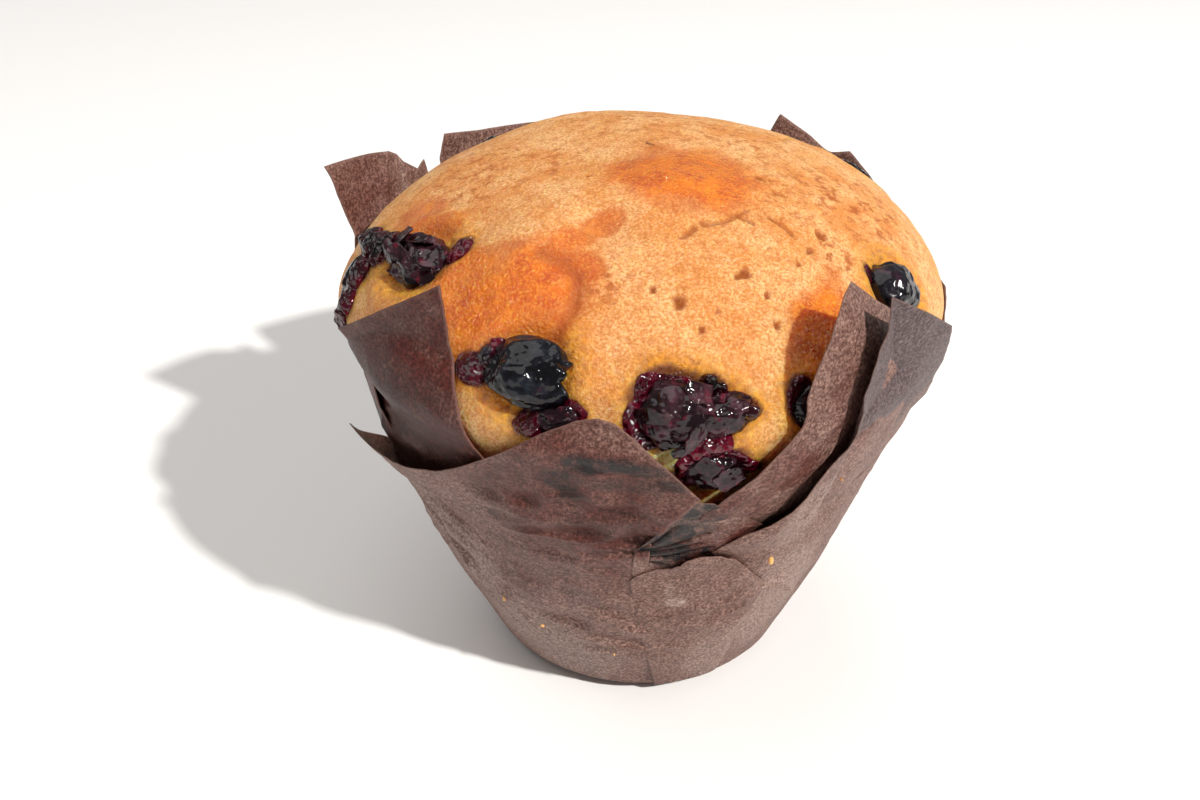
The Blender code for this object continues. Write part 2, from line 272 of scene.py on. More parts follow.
def grain(tree, place, size, detail=2.0, sharp=0.5):
    """Noise whose lumps are about size across, from 0 to 1."""
    return add(tree, "ShaderNodeTexNoise", {},
               {"Vector": place, "Scale": 1.0 / size, "Detail": detail,
                "Roughness": sharp}).outputs["Fac"]


def between(tree, value, low, high, start=0.0, end=1.0):
    """Value from low to high turned into start to end, and held there."""
    return add(tree, "ShaderNodeMapRange", {"clamp": True},
               {"Value": value, "From Min": low, "From Max": high,
                "To Min": start, "To Max": end}).outputs["Result"]


def sums(tree, operation, first, second):
    return add(tree, "ShaderNodeMath", {"operation": operation},
               {0: first, 1: second}).outputs[0]


def times(tree, first, second):
    return sums(tree, "MULTIPLY", first, second)


def blend(tree, share, first, second):
    """The second colour laid over the first. Either may be a hex code."""
    first, second = (tint(c) if isinstance(c, str) else c for c in (first, second))
    return add(tree, "ShaderNodeMix", {"data_type": "RGBA"},
               {0: share, 6: first, 7: second}).outputs[2]


def mask(tree, name):
    return add(tree, "ShaderNodeAttribute", {"attribute_name": name}, {}).outputs["Fac"]


def bump(tree, height, depth):
    """Relief of the given depth in millimetres."""
    return add(tree, "ShaderNodeBump", {},
               {"Height": height, "Distance": depth * MM, "Strength": 1.0}).outputs["Normal"]


def baked_crust():
    """Baked wheat crust: browned in the oven, dry and finely porous, and glazed
    with syrup where it has risen and round the fruit, which gives an orange gloss."""
    made, tree, shader = new_material("baked crust")
    place = in_millimetres(tree)
    glaze_and_shadow, moist, brown = (mask(tree, name) for name in ("glaze_and_shadow", "moist", "brown"))
    broad = grain(tree, place, 6.0, 4.0, 0.6)
    colour = blend(tree, between(tree, broad, 0.38, 0.62), "#f6be80", "#eca25a")
    colour = blend(tree, mask(tree, "pale"), colour, "#f6be80")
    # Tiny pores and grains of the dried batter, 0.3 to 0.5 mm across
    sand = grain(tree, place, 0.36, 3.0, 0.75)
    colour = blend(tree, between(tree, sand, 0.46, 0.60, 0.0, 0.75), colour, "#cd7a2c")
    colour = blend(tree, between(tree, sand, 0.48, 0.36, 0.0, 0.6), colour, "#fdd7a4")
    # Freckles 1 to 2 mm across, where the crust browned first
    freckle = grain(tree, place, 1.5, 5.0, 0.7)
    toasted = times(tree, between(tree, broad, 0.40, 0.60, 0.1, 0.6), brown)
    colour = blend(tree, toasted, colour, "#d67f36")
    freckled = times(tree, between(tree, freckle, 0.51, 0.62, 0.0, 0.9), brown)
    colour = blend(tree, freckled, colour, "#b35c22")
    # Moist, yellow to olive, where the fruit's juice has soaked in
    damp = between(tree, grain(tree, place, 1.2, 4.0, 0.65), 0.38, 0.64)
    colour = blend(tree, moist, colour, blend(tree, damp, "#f5a624", "#b4690c"))
    # Syrup glaze, deeper where it lies thick
    thick = between(tree, grain(tree, place, 3.0, 5.0, 0.65), 0.36, 0.64)
    syrup = blend(tree, thick, "#f28200", "#c94c00")
    syrup = blend(tree, between(tree, sand, 0.50, 0.38, 0.0, 0.6), syrup, "#f9ad30")
    # The glaze mask also lays this orange in the inner strip's shadow, as painted shadow
    colour = blend(tree, glaze_and_shadow, colour, syrup)
    crumb = blend(tree, damp, "#f3dda0", "#d9ae5c")
    # The colour laid in pores, pits and cracks is painted shade in the hollows
    laid_over = {"rim": "#b9540f", "crumb": crumb, "pit_shade": "#a9561a", "stain": "#5a1210"}
    for name, over in laid_over.items():
        colour = blend(tree, mask(tree, name), colour, over)
    wet = sums(tree, "MAXIMUM", glaze_and_shadow, times(tree, moist, 0.9))
    wet = sums(tree, "MAXIMUM", wet, mask(tree, "stain"))
    # Relief of the pores, and of the small beads that the syrup dries to
    beads = grain(tree, place, 0.6, 1.0, 0.5)
    relief = sums(tree, "ADD", sand, times(tree, beads, 0.8))
    feed(tree, shader, {
        "Base Color": colour, "Roughness": between(tree, wet, 0.0, 1.0, 0.62, 0.35),
        "IOR": 1.45, "Specular IOR Level": 0.4, "Normal": bump(tree, relief, 0.4),
        "Subsurface Weight": 0.65, "Subsurface Radius": (1.0, 0.32, 0.06),
        "Subsurface Scale": 0.006, "Coat Weight": between(tree, wet, 0.25, 0.9, 0.0, 0.7),
        "Coat Roughness": 0.09, "Coat Normal": bump(tree, beads, 1.3)})
    return made


def blueberry_skin():
    """Baked blueberry: a thin dark skin that has shrivelled in the oven, with a grey
    bloom left in places, purple where it is torn, and shiny with its own juice."""
    made, tree, shader = new_material("baked blueberry skin")
    place = in_millimetres(tree)
    bloom = between(tree, grain(tree, place, 2.6, 4.0, 0.6), 0.46, 0.70)
    colour = blend(tree, bloom, "#07060a", "#1f222b")
    colour = blend(tree, mask(tree, "purple"), colour, blend(tree, bloom, "#18080e", "#4e2c35"))
    flesh = between(tree, grain(tree, place, 1.5, 3.0, 0.6), 0.52, 0.62)
    colour = blend(tree, times(tree, mask(tree, "torn"), flesh), colour, "#7d2136")
    wrinkle = sums(tree, "ADD", grain(tree, place, 1.2, 1.0, 0.4),
                   times(tree, grain(tree, place, 2.6, 1.0), 0.8))
    feed(tree, shader, {
        "Base Color": colour, "Roughness": between(tree, bloom, 0.0, 1.0, 0.12, 0.26),
        "Specular IOR Level": 0.35, "Normal": bump(tree, wrinkle, 0.42)})
    return made


def blueberry_juice():
    """Boiled blueberry juice: as glossy as jam, near black where it lies thick and
    crimson where it thins out, and full of small set bubbles."""
    made, tree, shader = new_material("boiled blueberry juice")
    place = in_millimetres(tree)
    thin = times(tree, mask(tree, "thin"),
                 between(tree, grain(tree, place, 1.3, 3.0), 0.32, 0.58, 0.35, 1.0))
    bubbles = sums(tree, "ADD", grain(tree, place, 0.8, 0.5, 0.4),
                   times(tree, grain(tree, place, 2.0, 1.0), 0.8))
    feed(tree, shader, {
        "Base Color": blend(tree, thin, "#080103", "#5a041c"), "Roughness": 0.1,
        "Specular IOR Level": 0.45, "Normal": bump(tree, bubbles, 0.9)})
    return made


def greaseproof_paper():
    """Brown greaseproof baking paper: pressed wood fibres that show as fine flecks,
    matt with a faint sheen, darker and smoother where fat or juice has soaked in."""
    made, tree, shader = new_material("brown greaseproof paper")
    place = in_millimetres(tree)
    # Fibres are near 0.1 mm, drawn at 0.4 mm so that they show
    fleck = grain(tree, place, 0.42, 4.0, 0.8)
    fibre = between(tree, fleck, 0.44, 0.66)
    cloud = grain(tree, place, 7.0, 5.0, 0.65)

    def patchy(name, noise, low, high, least):
        """A mask that is weaker where the noise is low."""
        return times(tree, mask(tree, name), between(tree, noise, low, high, least, 1.0))

    def fibred(share, under, dark, light):
        """Fibres of other colours laid over the paper."""
        return blend(tree, share, under, blend(tree, fibre, dark, light))

    colour = blend(tree, fibre, "#5a3b34", "#b08c7e")
    colour = fibred(between(tree, cloud, 0.42, 0.66, 0.0, 0.6), colour, "#48291f", "#8f6558")
    # Lighter, greyer fibres: real wear along creases and small rubbed marks, and painted sheen
    # and painted light from the floor on the left and low parts of the case
    colour = fibred(patchy("wear_and_painted_light", cloud, 0.3, 0.55, 0.55), colour, "#7b625a", "#cdb4a7")
    # Juice and fat turn the paper see-through and dark red
    soaked = patchy("soaked", grain(tree, place, 3.6, 5.0, 0.7), 0.34, 0.56, 0.5)
    colour = fibred(soaked, colour, "#3e120c", "#713026")
    # Grease darkens the paper; one spot on the wet pleat is painted shade in a gap
    grease_and_shade = patchy("grease_and_shade", grain(tree, place, 2.2, 4.0, 0.65), 0.34, 0.54, 0.25)
    colour = fibred(grease_and_shade, colour, "#090607", "#211514")
    # Painted shade: greyer and darker where the top of the right panel faces away from the light
    colour = fibred(mask(tree, "painted_shade"), colour, "#3a2f30", "#77676a")
    slick = sums(tree, "MAXIMUM", grease_and_shade, times(tree, soaked, 0.5))
    slick = sums(tree, "MAXIMUM", slick, mask(tree, "wet"))
    relief = sums(tree, "ADD", times(tree, fleck, 0.6), cloud)
    feed(tree, shader, {
        # Painted highlight: a lighter line along the cut edges of each sheet
        "Base Color": blend(tree, mask(tree, "edge"), colour, "#87655a"),
        "Roughness": between(tree, slick, 0.0, 1.0, 0.5, 0.2),
        "Specular IOR Level": 0.25, "Normal": bump(tree, relief, 0.32)})
    return made


def crumb_finish():
    """Loose crumb of the cake: soft, matt and yellow."""
    made, tree, shader = new_material("loose cake crumb")
    colour = blend(tree, grain(tree, in_millimetres(tree), 0.5), "#dd9646", "#efbf7c")
    feed(tree, shader, {"Base Color": colour, "Roughness": 0.7})
    return made


# ---- Cake ---------------------------------------------------------------------


def wall_radius(azimuth, height):
    """Outside of the case's plain wall."""
    radius = BASE_RADIUS + WALL_FLARE * height
    radius = radius - CASE_NIP * ease(height, NIP_FROM, RIM_HEIGHT)
    share = np.clip(height / RIM_HEIGHT, 0.0, 1.0) ** 0.8
    return radius + CASE_LEAN * share * towards(azimuth, CASE_LEAN_AZIMUTH)


def cake_radius(azimuth, height):
    """The plain cake: against the paper, then over the dome."""
    level = np.clip((height - EQUATOR_HEIGHT) / (DOME_TOP - EQUATOR_HEIGHT), 0.0, 1.0)
    radius = EQUATOR_RADIUS * (1.0 - level ** DOME_POWER) ** (1.0 / DOME_POWER)
    radius = radius + EQUATOR_SHIFT * towards(azimuth, 180.0)
    radius = radius + DOME_LEAN * level * towards(azimuth, DOME_LEAN_AZIMUTH)
    spilled = ease(height, SPILL_FROM, SPILL_TO)
    inside = wall_radius(azimuth, np.minimum(height, RIM_HEIGHT)) - WALL_THICKNESS - GAP
    inside = inside + NECK_FLARE * np.maximum(height - RIM_HEIGHT, 0.0)
    for direction, width, depth in PRESSED:
        pressed = depth * ease(height, PART_HEIGHT, RIM_HEIGHT)
        inside = inside - pressed * np.exp(-(beside(azimuth, direction) / width) ** 2)
    return radius * spilled + np.minimum(inside, radius) * (1.0 - spilled)


def outward(points):
    """Directions square to the dome, level below its widest ring."""
    steep = (DOME_TOP - EQUATOR_HEIGHT) ** 2 / EQUATOR_RADIUS ** 2
    rise = np.maximum(points[..., 2] - EQUATOR_HEIGHT, 0.0)
    normal = np.stack([points[..., 0] * steep, points[..., 1] * steep, rise], axis=-1)
    return normal / np.linalg.norm(normal, axis=-1, keepdims=True)


# Syrup glaze seen from above, and one painted shadow: place, half width, half length, turn, how
# strong
GLAZE_AND_SHADOW = [
    (4.6, -10.6, 10.4, 9.6, -18, 1.0), (3.8, -13.0, 6.0, 4.0, 0, 0.9),
    (-6.6, -20.4, 3.6, 2.2, 35, 0.75), (-9.8, -23.6, 3.0, 2.4, 20, 0.8),
    (-8.4, -27.6, 3.0, 2.6, 0, 0.85),
    (-17.6, -29.0, 9.6, 7.0, 12, 1.0), (-22.6, -26.6, 5.4, 5.4, 0, 0.9),
    # The oval at (20.4, -33.0) is painted shadow: deep orange where the inner strip's shadow
    # falls on the crust
    (-17.0, -34.0, 9.0, 4.0, 0, 0.6), (20.4, -33.0, 4.2, 8.0, -18, 1.0),
    (-13.6, -25.4, 3.2, 2.6, 0, 0.6), (-30.6, -8.0, 4.4, 4.0, 60, 0.85),
    (-27.0, -13.5, 3.4, 3.0, 0, 0.6), (1.4, -1.6, 3.6, 2.0, 0, 0.5),
    (-1.0, -14.0, 2.6, 4.0, 0, 0.5),
]
# Browned areas: place, size, strength
BROWNED = [
    (-24.0, -2.0, 14.0, 1.0), (-16.0, -2.0, 10.0, 0.9), (-2.0, 12.0, 14.0, 0.8),
    (28.0, -8.0, 11.0, 1.3), (22.8, -21.9, 2.6, 1.6), (14.0, 6.0, 14.0, 0.9),
    (16.0, -14.0, 9.0, 0.7), (-6.0, 30.0, 20.0, 0.9), (20.0, 26.0, 16.0, 0.8),
    (-30.0, 16.0, 14.0, 0.8), (-20.0, -12.0, 9.0, 0.45), (-7.0, -29.0, 4.0, 1.2),
    (3.0, -1.0, 5.0, 1.0),
]
# Round pits in the crust: place, radius, depth
PITS = [
    (2.9, -32.6, 0.95, 0.7), (-0.4, -31.0, 0.5, 0.5), (13.6, -30.5, 0.5, 0.5),
    (14.5, -33.5, 0.6, 0.5), (11.0, -28.0, 0.9, 0.6), (10.2, -28.4, 0.6, 0.5),
    (21.4, -19.1, 0.9, 0.6), (16.2, -13.2, 0.5, 0.3), (14.6, -9.2, 0.6, 0.3),
    (-24.0, 20.0, 0.8, 0.5), (5.0, 24.0, 0.9, 0.5), (26.0, 18.0, 0.7, 0.5),
    (-8.0, -9.0, 0.4, 0.4), (-13.0, -6.0, 0.4, 0.3), (18.0, -25.0, 0.5, 0.4),
    (5.4, -35.5, 0.45, 0.4), (7.4, -33.2, 0.4, 0.4), (19.6, -22.4, 0.7, 0.5),
]
# Cracks: lines over the dome, seen from above
CRACKS = [
    [(14.6, -18.3), (15.4, -18.9), (16.2, -19.4), (17.6, -20.9)],
    [(10.4, -18.7), (11.4, -19.3), (12.6, -19.8)], [(15.8, -12.4), (17.2, -13.1)],
    [(13.8, -9.2), (15.0, -9.8), (16.0, -9.4)], [(-9.0, 20.0), (-5.0, 22.0), (-1.0, 21.0)],
    [(20.0, 10.0), (22.0, 13.0), (22.5, 16.0)], [(6.0, -20.9), (9.0, -20.4), (12.0, -17.5)],
    [(5.2, -21.6), (4.4, -22.8), (3.4, -23.4)],
]
CRACK_DEPTH = 0.35
PORE_CELL = 2.6           # the pores' loose grid, and the share of its cells with a pore
PORE_SHARE = 0.3
# A furrow beside the glazed swelling at the front left, seen from above
VALLEY = [(-13.5, -24.9), (-11.2, -26.4), (-9.4, -28.3), (-9.3, -30.6), (-10.0, -33.0),
          (-11.8, -35.2), (-14.5, -36.4)]

RING_HEIGHTS = np.linspace(RIM_HEIGHT, DOME_TOP - 0.1, 600)
RING_LEVELS = np.clip((RING_HEIGHTS - EQUATOR_HEIGHT) / (DOME_TOP - EQUATOR_HEIGHT), 0.0, 1.0)
RING_RADII = EQUATOR_RADIUS * np.sqrt(1.0 - RING_LEVELS ** 2)
RING_MARKS = np.concatenate([[0.0], np.cumsum(np.hypot(np.diff(RING_HEIGHTS),
                                                       np.diff(RING_RADII)))])


def drape(azimuth, height, across, along):
    """Azimuths and heights of places on the dome, from how far they lie from a spot
    on it: across to the right, and along towards the top."""
    mark = np.interp(height, RING_HEIGHTS, RING_MARKS)
    heights = np.interp(mark + along, RING_MARKS, RING_HEIGHTS)
    radius = np.interp(heights, RING_HEIGHTS, RING_RADII)
    return azimuth + np.degrees(across / radius), heights


def apart(azimuth, height, spot_azimuth, spot_height, turn=0.0):
    """How far places on the dome lie from a spot on it, across and along."""
    radius = np.interp(height, RING_HEIGHTS, RING_RADII)
    across = np.radians(beside(azimuth, spot_azimuth)) * radius
    along = (np.interp(height, RING_HEIGHTS, RING_MARKS)
             - np.interp(spot_height, RING_HEIGHTS, RING_MARKS))
    return turned(across, along, turn)


# Juice on the crust: azimuth, height, half width, half length, turn, thickness, and
# how thin and red it is
JUICE = [
    (238.6, 67.6, 2.7, 1.9, -12, 0.5, 0.5), (241.9, 70.5, 1.3, 0.6, 15, 0.25, 1.0),
    (240.8, 69.0, 1.0, 1.6, 20, 1.1, 0.0), (252.8, 64.2, 4.0, 2.2, 14, 0.9, 0.35),
    (256.8, 65.7, 1.9, 1.2, -25, 0.7, 0.6), (271.8, 66.4, 4.5, 4.9, 0, 0.6, 0.4),
    (267.9, 64.8, 2.0, 3.4, 8, 0.6, 0.6), (282.0, 65.9, 3.4, 1.6, -6, 1.9, 0.1),
    (279.4, 68.3, 1.7, 1.2, -45, 1.2, 0.0), (279.0, 65.4, 2.4, 2.0, 0, 1.3, 0.1),
    (270.6, 62.8, 4.2, 1.2, 4, 0.7, 0.5), (277.9, 62.1, 3.0, 3.2, 0, 0.5, 1.0),
    (279.2, 58.0, 5.0, 3.6, 0, 0.5, 0.7), (284.8, 57.8, 2.4, 1.2, -25, 0.4, 0.6),
    (219.8, 75.4, 1.6, 2.4, 0, 0.6, 0.8), (199.0, 71.6, 2.2, 2.8, 0, 1.3, 0.0),
    (194.0, 70.9, 2.2, 2.2, 0, 1.4, 0.0), (188.4, 70.2, 2.0, 2.0, 0, 1.2, 0.1),
    (197.6, 67.9, 2.4, 2.8, 0, 1.3, 0.1), (198.8, 65.0, 2.1, 2.6, 0, 1.0, 0.3),
    (198.4, 61.9, 1.8, 2.6, 0, 0.9, 0.5), (321.6, 73.0, 1.0, 1.9, 0, 0.4, 0.3),
    (293.8, 65.6, 2.0, 2.8, 0, 0.5, 0.3), (128.0, 69.0, 5.4, 4.6, 20, 0.35, 0.7),
    (78.0, 65.6, 5.0, 4.6, 0, 0.35, 0.7), (25.0, 71.6, 5.2, 4.2, 0, 0.3, 0.7),
]
# Where the crust has torn and the pale crumb shows: azimuth, height, half sizes
TORN_CRUST = [(272.2, 60.2, 2.9, 1.9), (269.2, 62.0, 1.6, 0.9)]


def soft_spot(plan, x, y, wide, long, turn, seed):
    """1 in the middle of an oval, 0 outside it, with an uneven edge."""
    across, along = turned(plan[..., 0] - x, plan[..., 1] - y, turn)
    flat = np.concatenate([plan, np.full(plan.shape[:-1] + (1,), float(seed))], axis=-1)
    away = np.hypot(across / wide, along / long) + 0.5 * rough(flat, 4.5, 5, seed)
    return 1.0 - ease(away, 0.55, 1.15)


def glaze_and_shadow_share(plan):
    share = np.zeros(plan.shape[:-1])
    for number, (x, y, wide, long, turn, strength) in enumerate(GLAZE_AND_SHADOW):
        spot = soft_spot(plan, x, y, wide, long, turn, 20 + number)
        share = np.maximum(share, strength * spot)
    return share


# How far the fruit lies from the middle of its solid: across, and towards the top
NUDGED = {
    "blueberry_front_left": (2.1, 0.9), "blueberry_centre_side": (-2.8, 0.4),
    "blueberry_left": (1.5, 1.3), "blueberry_right": (-0.7, 1.8),
}


def tangents(middle):
    """Ways across, along towards the top, and out, at a place on the dome."""
    out = outward(middle[None, :])[0]
    across = np.cross((0.0, 0.0, 1.0), out)
    across /= np.linalg.norm(across)
    return across, np.cross(out, across), out


def berry_places():
    """Where each berry sits, from its solid: middle and half of its box."""
    places = {}
    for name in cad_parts:
        if name.startswith("blueberry"):
            low, high = (np.array(corner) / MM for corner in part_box(name))
            middle = (low + high) / 2.0
            across, along, _ = tangents(middle)
            aside, up = NUDGED.get(name, (0.0, 0.0))
            places[name] = (middle + aside * across + up * along, (high - low) / 2.0)
    return places


BERRY_PLACES = berry_places()


def nearest_berry(points):
    """Distance to the nearest berry's middle, as a share of the berry's size."""
    best = np.full(points.shape[:-1], 9.0)
    for middle, half in BERRY_PLACES.values():
        size = float(np.mean(half))
        away = np.linalg.norm(points - middle, axis=-1) / size
        best = np.minimum(best, away)
    return best


def juice_share(azimuth, height, base):
    """Distance to the nearest juice, as a share of that puddle's size."""
    wander = 0.22 * rough(base, 1.8, 3, 60)
    best = np.full(base.shape[:-1], 9.0)
    for spot_azimuth, spot_height, wide, long, turn, _, _ in JUICE:
        across, along = apart(azimuth, height, spot_azimuth, spot_height, turn)
        best = np.minimum(best, np.hypot(across / wide, along / long) + wander)
    return best


def sink_holes(relief, base, glaze_and_shadow, free):
    """Sink pores, round pits and cracks into the relief. Returns how deep each place
    looks, from 0 to 1, which the crust's colour darkens as painted shade."""
    x, y = base[..., 0], base[..., 1]
    # Small pores, about 5 mm apart
    away, number = nearest_spot(base, PORE_CELL, 31)
    hole = (1.0 - ease(away, 0.12, 0.42)) * (number < PORE_SHARE) * (1.0 - 0.8 * glaze_and_shadow)
    pit_shade = 0.55 * hole
    relief -= 0.2 * hole * free
    for x_pit, y_pit, radius, depth in PITS:
        away = np.hypot(x - x_pit, y - y_pit) + 0.25 * lumps(base, 0.8, 14)
        hole = (1.0 - ease(away, radius * 0.55, radius * 1.15)) * free
        relief -= depth * hole
        pit_shade = np.maximum(pit_shade, hole)
    for number, line in enumerate(CRACKS):
        away = along_line(base[..., :2], line) + 0.3 * rough(base, 1.6, 2, 40 + number)
        hole = (1.0 - ease(away, 0.1, 0.48)) * free
        relief -= CRACK_DEPTH * hole
        pit_shade = np.maximum(pit_shade, 0.8 * hole)
    return pit_shade


def browning(x, y):
    """How far the oven has browned the crust."""
    brown = np.full(x.shape, 0.3)
    for x_brown, y_brown, size, strength in BROWNED:
        away = np.hypot(x - x_brown, y - y_brown) / size
        brown = np.maximum(brown, strength * np.exp(-away * away))
    return brown


def torn_share(azimuth, height, base):
    """1 where the crust has torn."""
    torn = np.zeros(base.shape[:-1])
    for spot_azimuth, spot_height, wide, long in TORN_CRUST:
        across, along = apart(azimuth, height, spot_azimuth, spot_height)
        away = np.hypot(across / wide, along / long) + 0.2 * lumps(base, 1.2, 77)
        torn = np.maximum(torn, 1.0 - ease(away, 0.7, 1.0))
    return torn


def crust_relief(azimuth, height):
    """The plain cake's points, how far the crust stands out from them, and the masks
    of its looks."""
    base = polar(azimuth, cake_radius(azimuth, height), height)
    azimuth, height = np.broadcast_arrays(azimuth, height)
    plan = base[..., :2]
    x, y = base[..., 0], base[..., 1]
    inland = 1.0 - ease(np.hypot(x, y), 34.0, 42.0)
    relief = np.zeros(base.shape[:-1])
    for swell_azimuth, radius, rise, width in SWELLINGS:
        centre = polar(swell_azimuth, radius, 0.0)
        away = np.hypot(x - centre[0], y - centre[1]) / width
        relief += rise * np.exp(-away * away) * inland
    free = ease(height, 50.0, 58.0)
    glaze_and_shadow = glaze_and_shadow_share(plan) * free
    relief += 0.25 * rough(base, 12.0, 2, 3) * free
    relief += glaze_and_shadow * (0.02 + 0.16 * rough(base, 2.6, 3, 5))
    valley = along_line(plan, VALLEY)
    relief -= 0.8 * np.exp(-(valley / 1.1) ** 2) * free
    relief += 0.05 * lumps(base, 1.7, 8) * free
    pit_shade = sink_holes(relief, base, glaze_and_shadow, free)
    berry = nearest_berry(base)
    relief += 0.35 * np.exp(-((berry - 1.7) / 0.3) ** 2) * free
    relief -= 0.7 * (1.0 - ease(berry, 1.0, 1.4)) * free
    juice = juice_share(azimuth, height, base)
    wander = 0.35 * rough(base, 3.0, 3, 50)
    moist = np.maximum((1.0 - ease(berry + wander, 1.1, 2.3)) * 0.95,
                       0.9 * (1.0 - ease(juice + wander, 1.0, 1.9)))
    uneven = np.clip(0.5 + 1.6 * rough(base, 4.0, 4, 55), 0.0, 1.0)
    rim = 0.5 * np.clip(glaze_and_shadow * (1.0 - glaze_and_shadow) * 4.0, 0.0, 1.0) ** 2 * uneven
    torn = torn_share(azimuth, height, base)
    relief -= 0.35 * torn * (1.0 + lumps(base, 1.1, 78))
    return base, relief, {
        "glaze_and_shadow": glaze_and_shadow, "pit_shade": pit_shade, "moist": moist * free,
        "rim": np.maximum(rim, 0.75 * np.exp(-(valley / 1.2) ** 2) * free),
        "brown": browning(x, y) * (1.0 - 0.8 * glaze_and_shadow) * free,
        "pale": (1.0 - ease(height, 62.0, 76.0)) * 0.6, "crumb": torn,
        "stain": (1.0 - ease(juice, 0.98, 1.22)) * 0.85 * (1.0 - torn)}


def crust(azimuth, height):
    """Points of the finished crust, the way out from it, and its masks."""
    base, relief, masks = crust_relief(azimuth, height)
    normal = outward(base)
    return base + normal * relief[..., None], normal, masks


CAKE_COLUMNS = 560
CAKE_RIM_STEP = 0.6
CAKE_DOME_ROWS = 112
CLEAR_OF_PAPER = 0.7      # the cake's wall keeps this far inside the inner sheet


def make_cake(finish):
    """The whole cake: plain inside the paper, with its full relief on the dome."""
    azimuth = np.arange(CAKE_COLUMNS) * 360.0 / CAKE_COLUMNS
    low = np.array([WALL_THICKNESS + GAP + CORNER, 12.0, 22.0, 32.0, 40.0])
    rim = np.arange(44.0, EQUATOR_HEIGHT, CAKE_RIM_STEP)
    turn = np.arange(CAKE_DOME_ROWS) / CAKE_DOME_ROWS * math.pi / 2.0
    dome = EQUATOR_HEIGHT + (DOME_TOP - EQUATOR_HEIGHT) * np.sin(turn)
    heights = np.concatenate([low, rim, dome])
    points, _, masks = crust(azimuth[:, None], heights[None, :])
    drawn_in = CLEAR_OF_PAPER * (1.0 - ease(heights, 40.0, 50.0))
    points[..., :2] *= 1.0 - (drawn_in / np.hypot(points[..., 0], points[..., 1]))[..., None]
    bottom = WALL_THICKNESS + GAP
    ring = polar(azimuth, BASE_RADIUS - 3.0, bottom)[:, None, :]
    points = np.concatenate([ring, points], axis=1)
    rows = points.shape[1]
    top = polar(DOME_LEAN_AZIMUTH, DOME_LEAN, DOME_TOP)
    _, lift, top_masks = crust_relief(np.array([DOME_LEAN_AZIMUTH]), np.array([DOME_TOP]))
    everything = np.concatenate([points.reshape(-1, 3), [(0.0, 0.0, bottom)],
                                 [top + (0.0, 0.0, lift[0])]])
    faces = capped(CAKE_COLUMNS, rows)
    full = {}
    for name, values in masks.items():
        ringed = np.concatenate([values[:, :1], values], axis=1).reshape(-1)
        full[name] = np.concatenate([ringed, [0.0], top_masks[name]])
    return piece("muffin_cake", everything, faces, finish, "cake", full)


# ---- Berries ------------------------------------------------------------------

# Length, width and depth, turn on the dome, plates of collapsed skin, wrinkle depth,
# crown at the end, share of torn skin, how purple
BERRY_LOOKS = {
    "blueberry_front_left": (12.2, 8.6, 7.6, 2, 8, 0.24, True, 0.1, 0.0),
    "blueberry_front_small": (6.6, 4.6, 4.4, 5, 7, 0.4, False, 0.6, 0.7),
    "blueberry_centre": (8.6, 9.2, 6.8, 20, 7, 0.34, True, 0.3, 0.75),
    "blueberry_centre_side": (8.8, 5.2, 5.0, 4, 8, 0.6, False, 0.6, 1.0),
    "blueberry_front_low": (8.6, 6.4, 5.4, -12, 8, 0.5, False, 0.6, 0.8),
    "blueberry_left": (12.2, 7.4, 6.2, 12, 16, 0.75, False, 0.75, 0.9),
    "blueberry_left_edge": (6.4, 9.8, 5.6, 0, 8, 0.3, False, 0.3, 0.0),
    "blueberry_right": (7.6, 8.6, 6.6, 60, 7, 0.26, True, 0.1, 0.1),
    "blueberry_right_front": (5.4, 6.4, 4.8, 0, 6, 0.25, False, 0.5, 0.4),
    "blueberry_back_left": (9.4, 7.6, 5.8, 15, 8, 0.22, True, 0.2, 0.1),
    "blueberry_back": (9.2, 8.6, 6.8, 70, 8, 0.3, False, 0.4, 0.6),
    "blueberry_back_right": (7.6, 6.6, 3.6, 40, 9, 0.22, True, 0.2, 0.1),
}
BERRY_COLUMNS = 96
BERRY_ROWS = 60
PLATE_EDGE = 18.0         # how sharp the edges are between two plates of skin
CROWN_RING = 27.0         # degrees from a berry's end to the lobes of its crown


def unit_ball(columns, rows):
    """Directions over a ball whose poles lie along X, with the two poles last."""
    lift = np.pi * np.arange(1, rows)[None, :] / rows
    turn = 2.0 * np.pi * np.arange(columns)[:, None] / columns
    parts = (np.cos(lift) + 0.0 * turn, np.sin(lift) * np.cos(turn),
             np.sin(lift) * np.sin(turn))
    ways = np.stack(parts, axis=-1).reshape(-1, 3)
    return np.concatenate([ways, [(1.0, 0.0, 0.0), (-1.0, 0.0, 0.0)]])


def ball_faces(columns, rows):
    """Faces over that ball."""
    return capped(columns, rows - 1, flip=True)


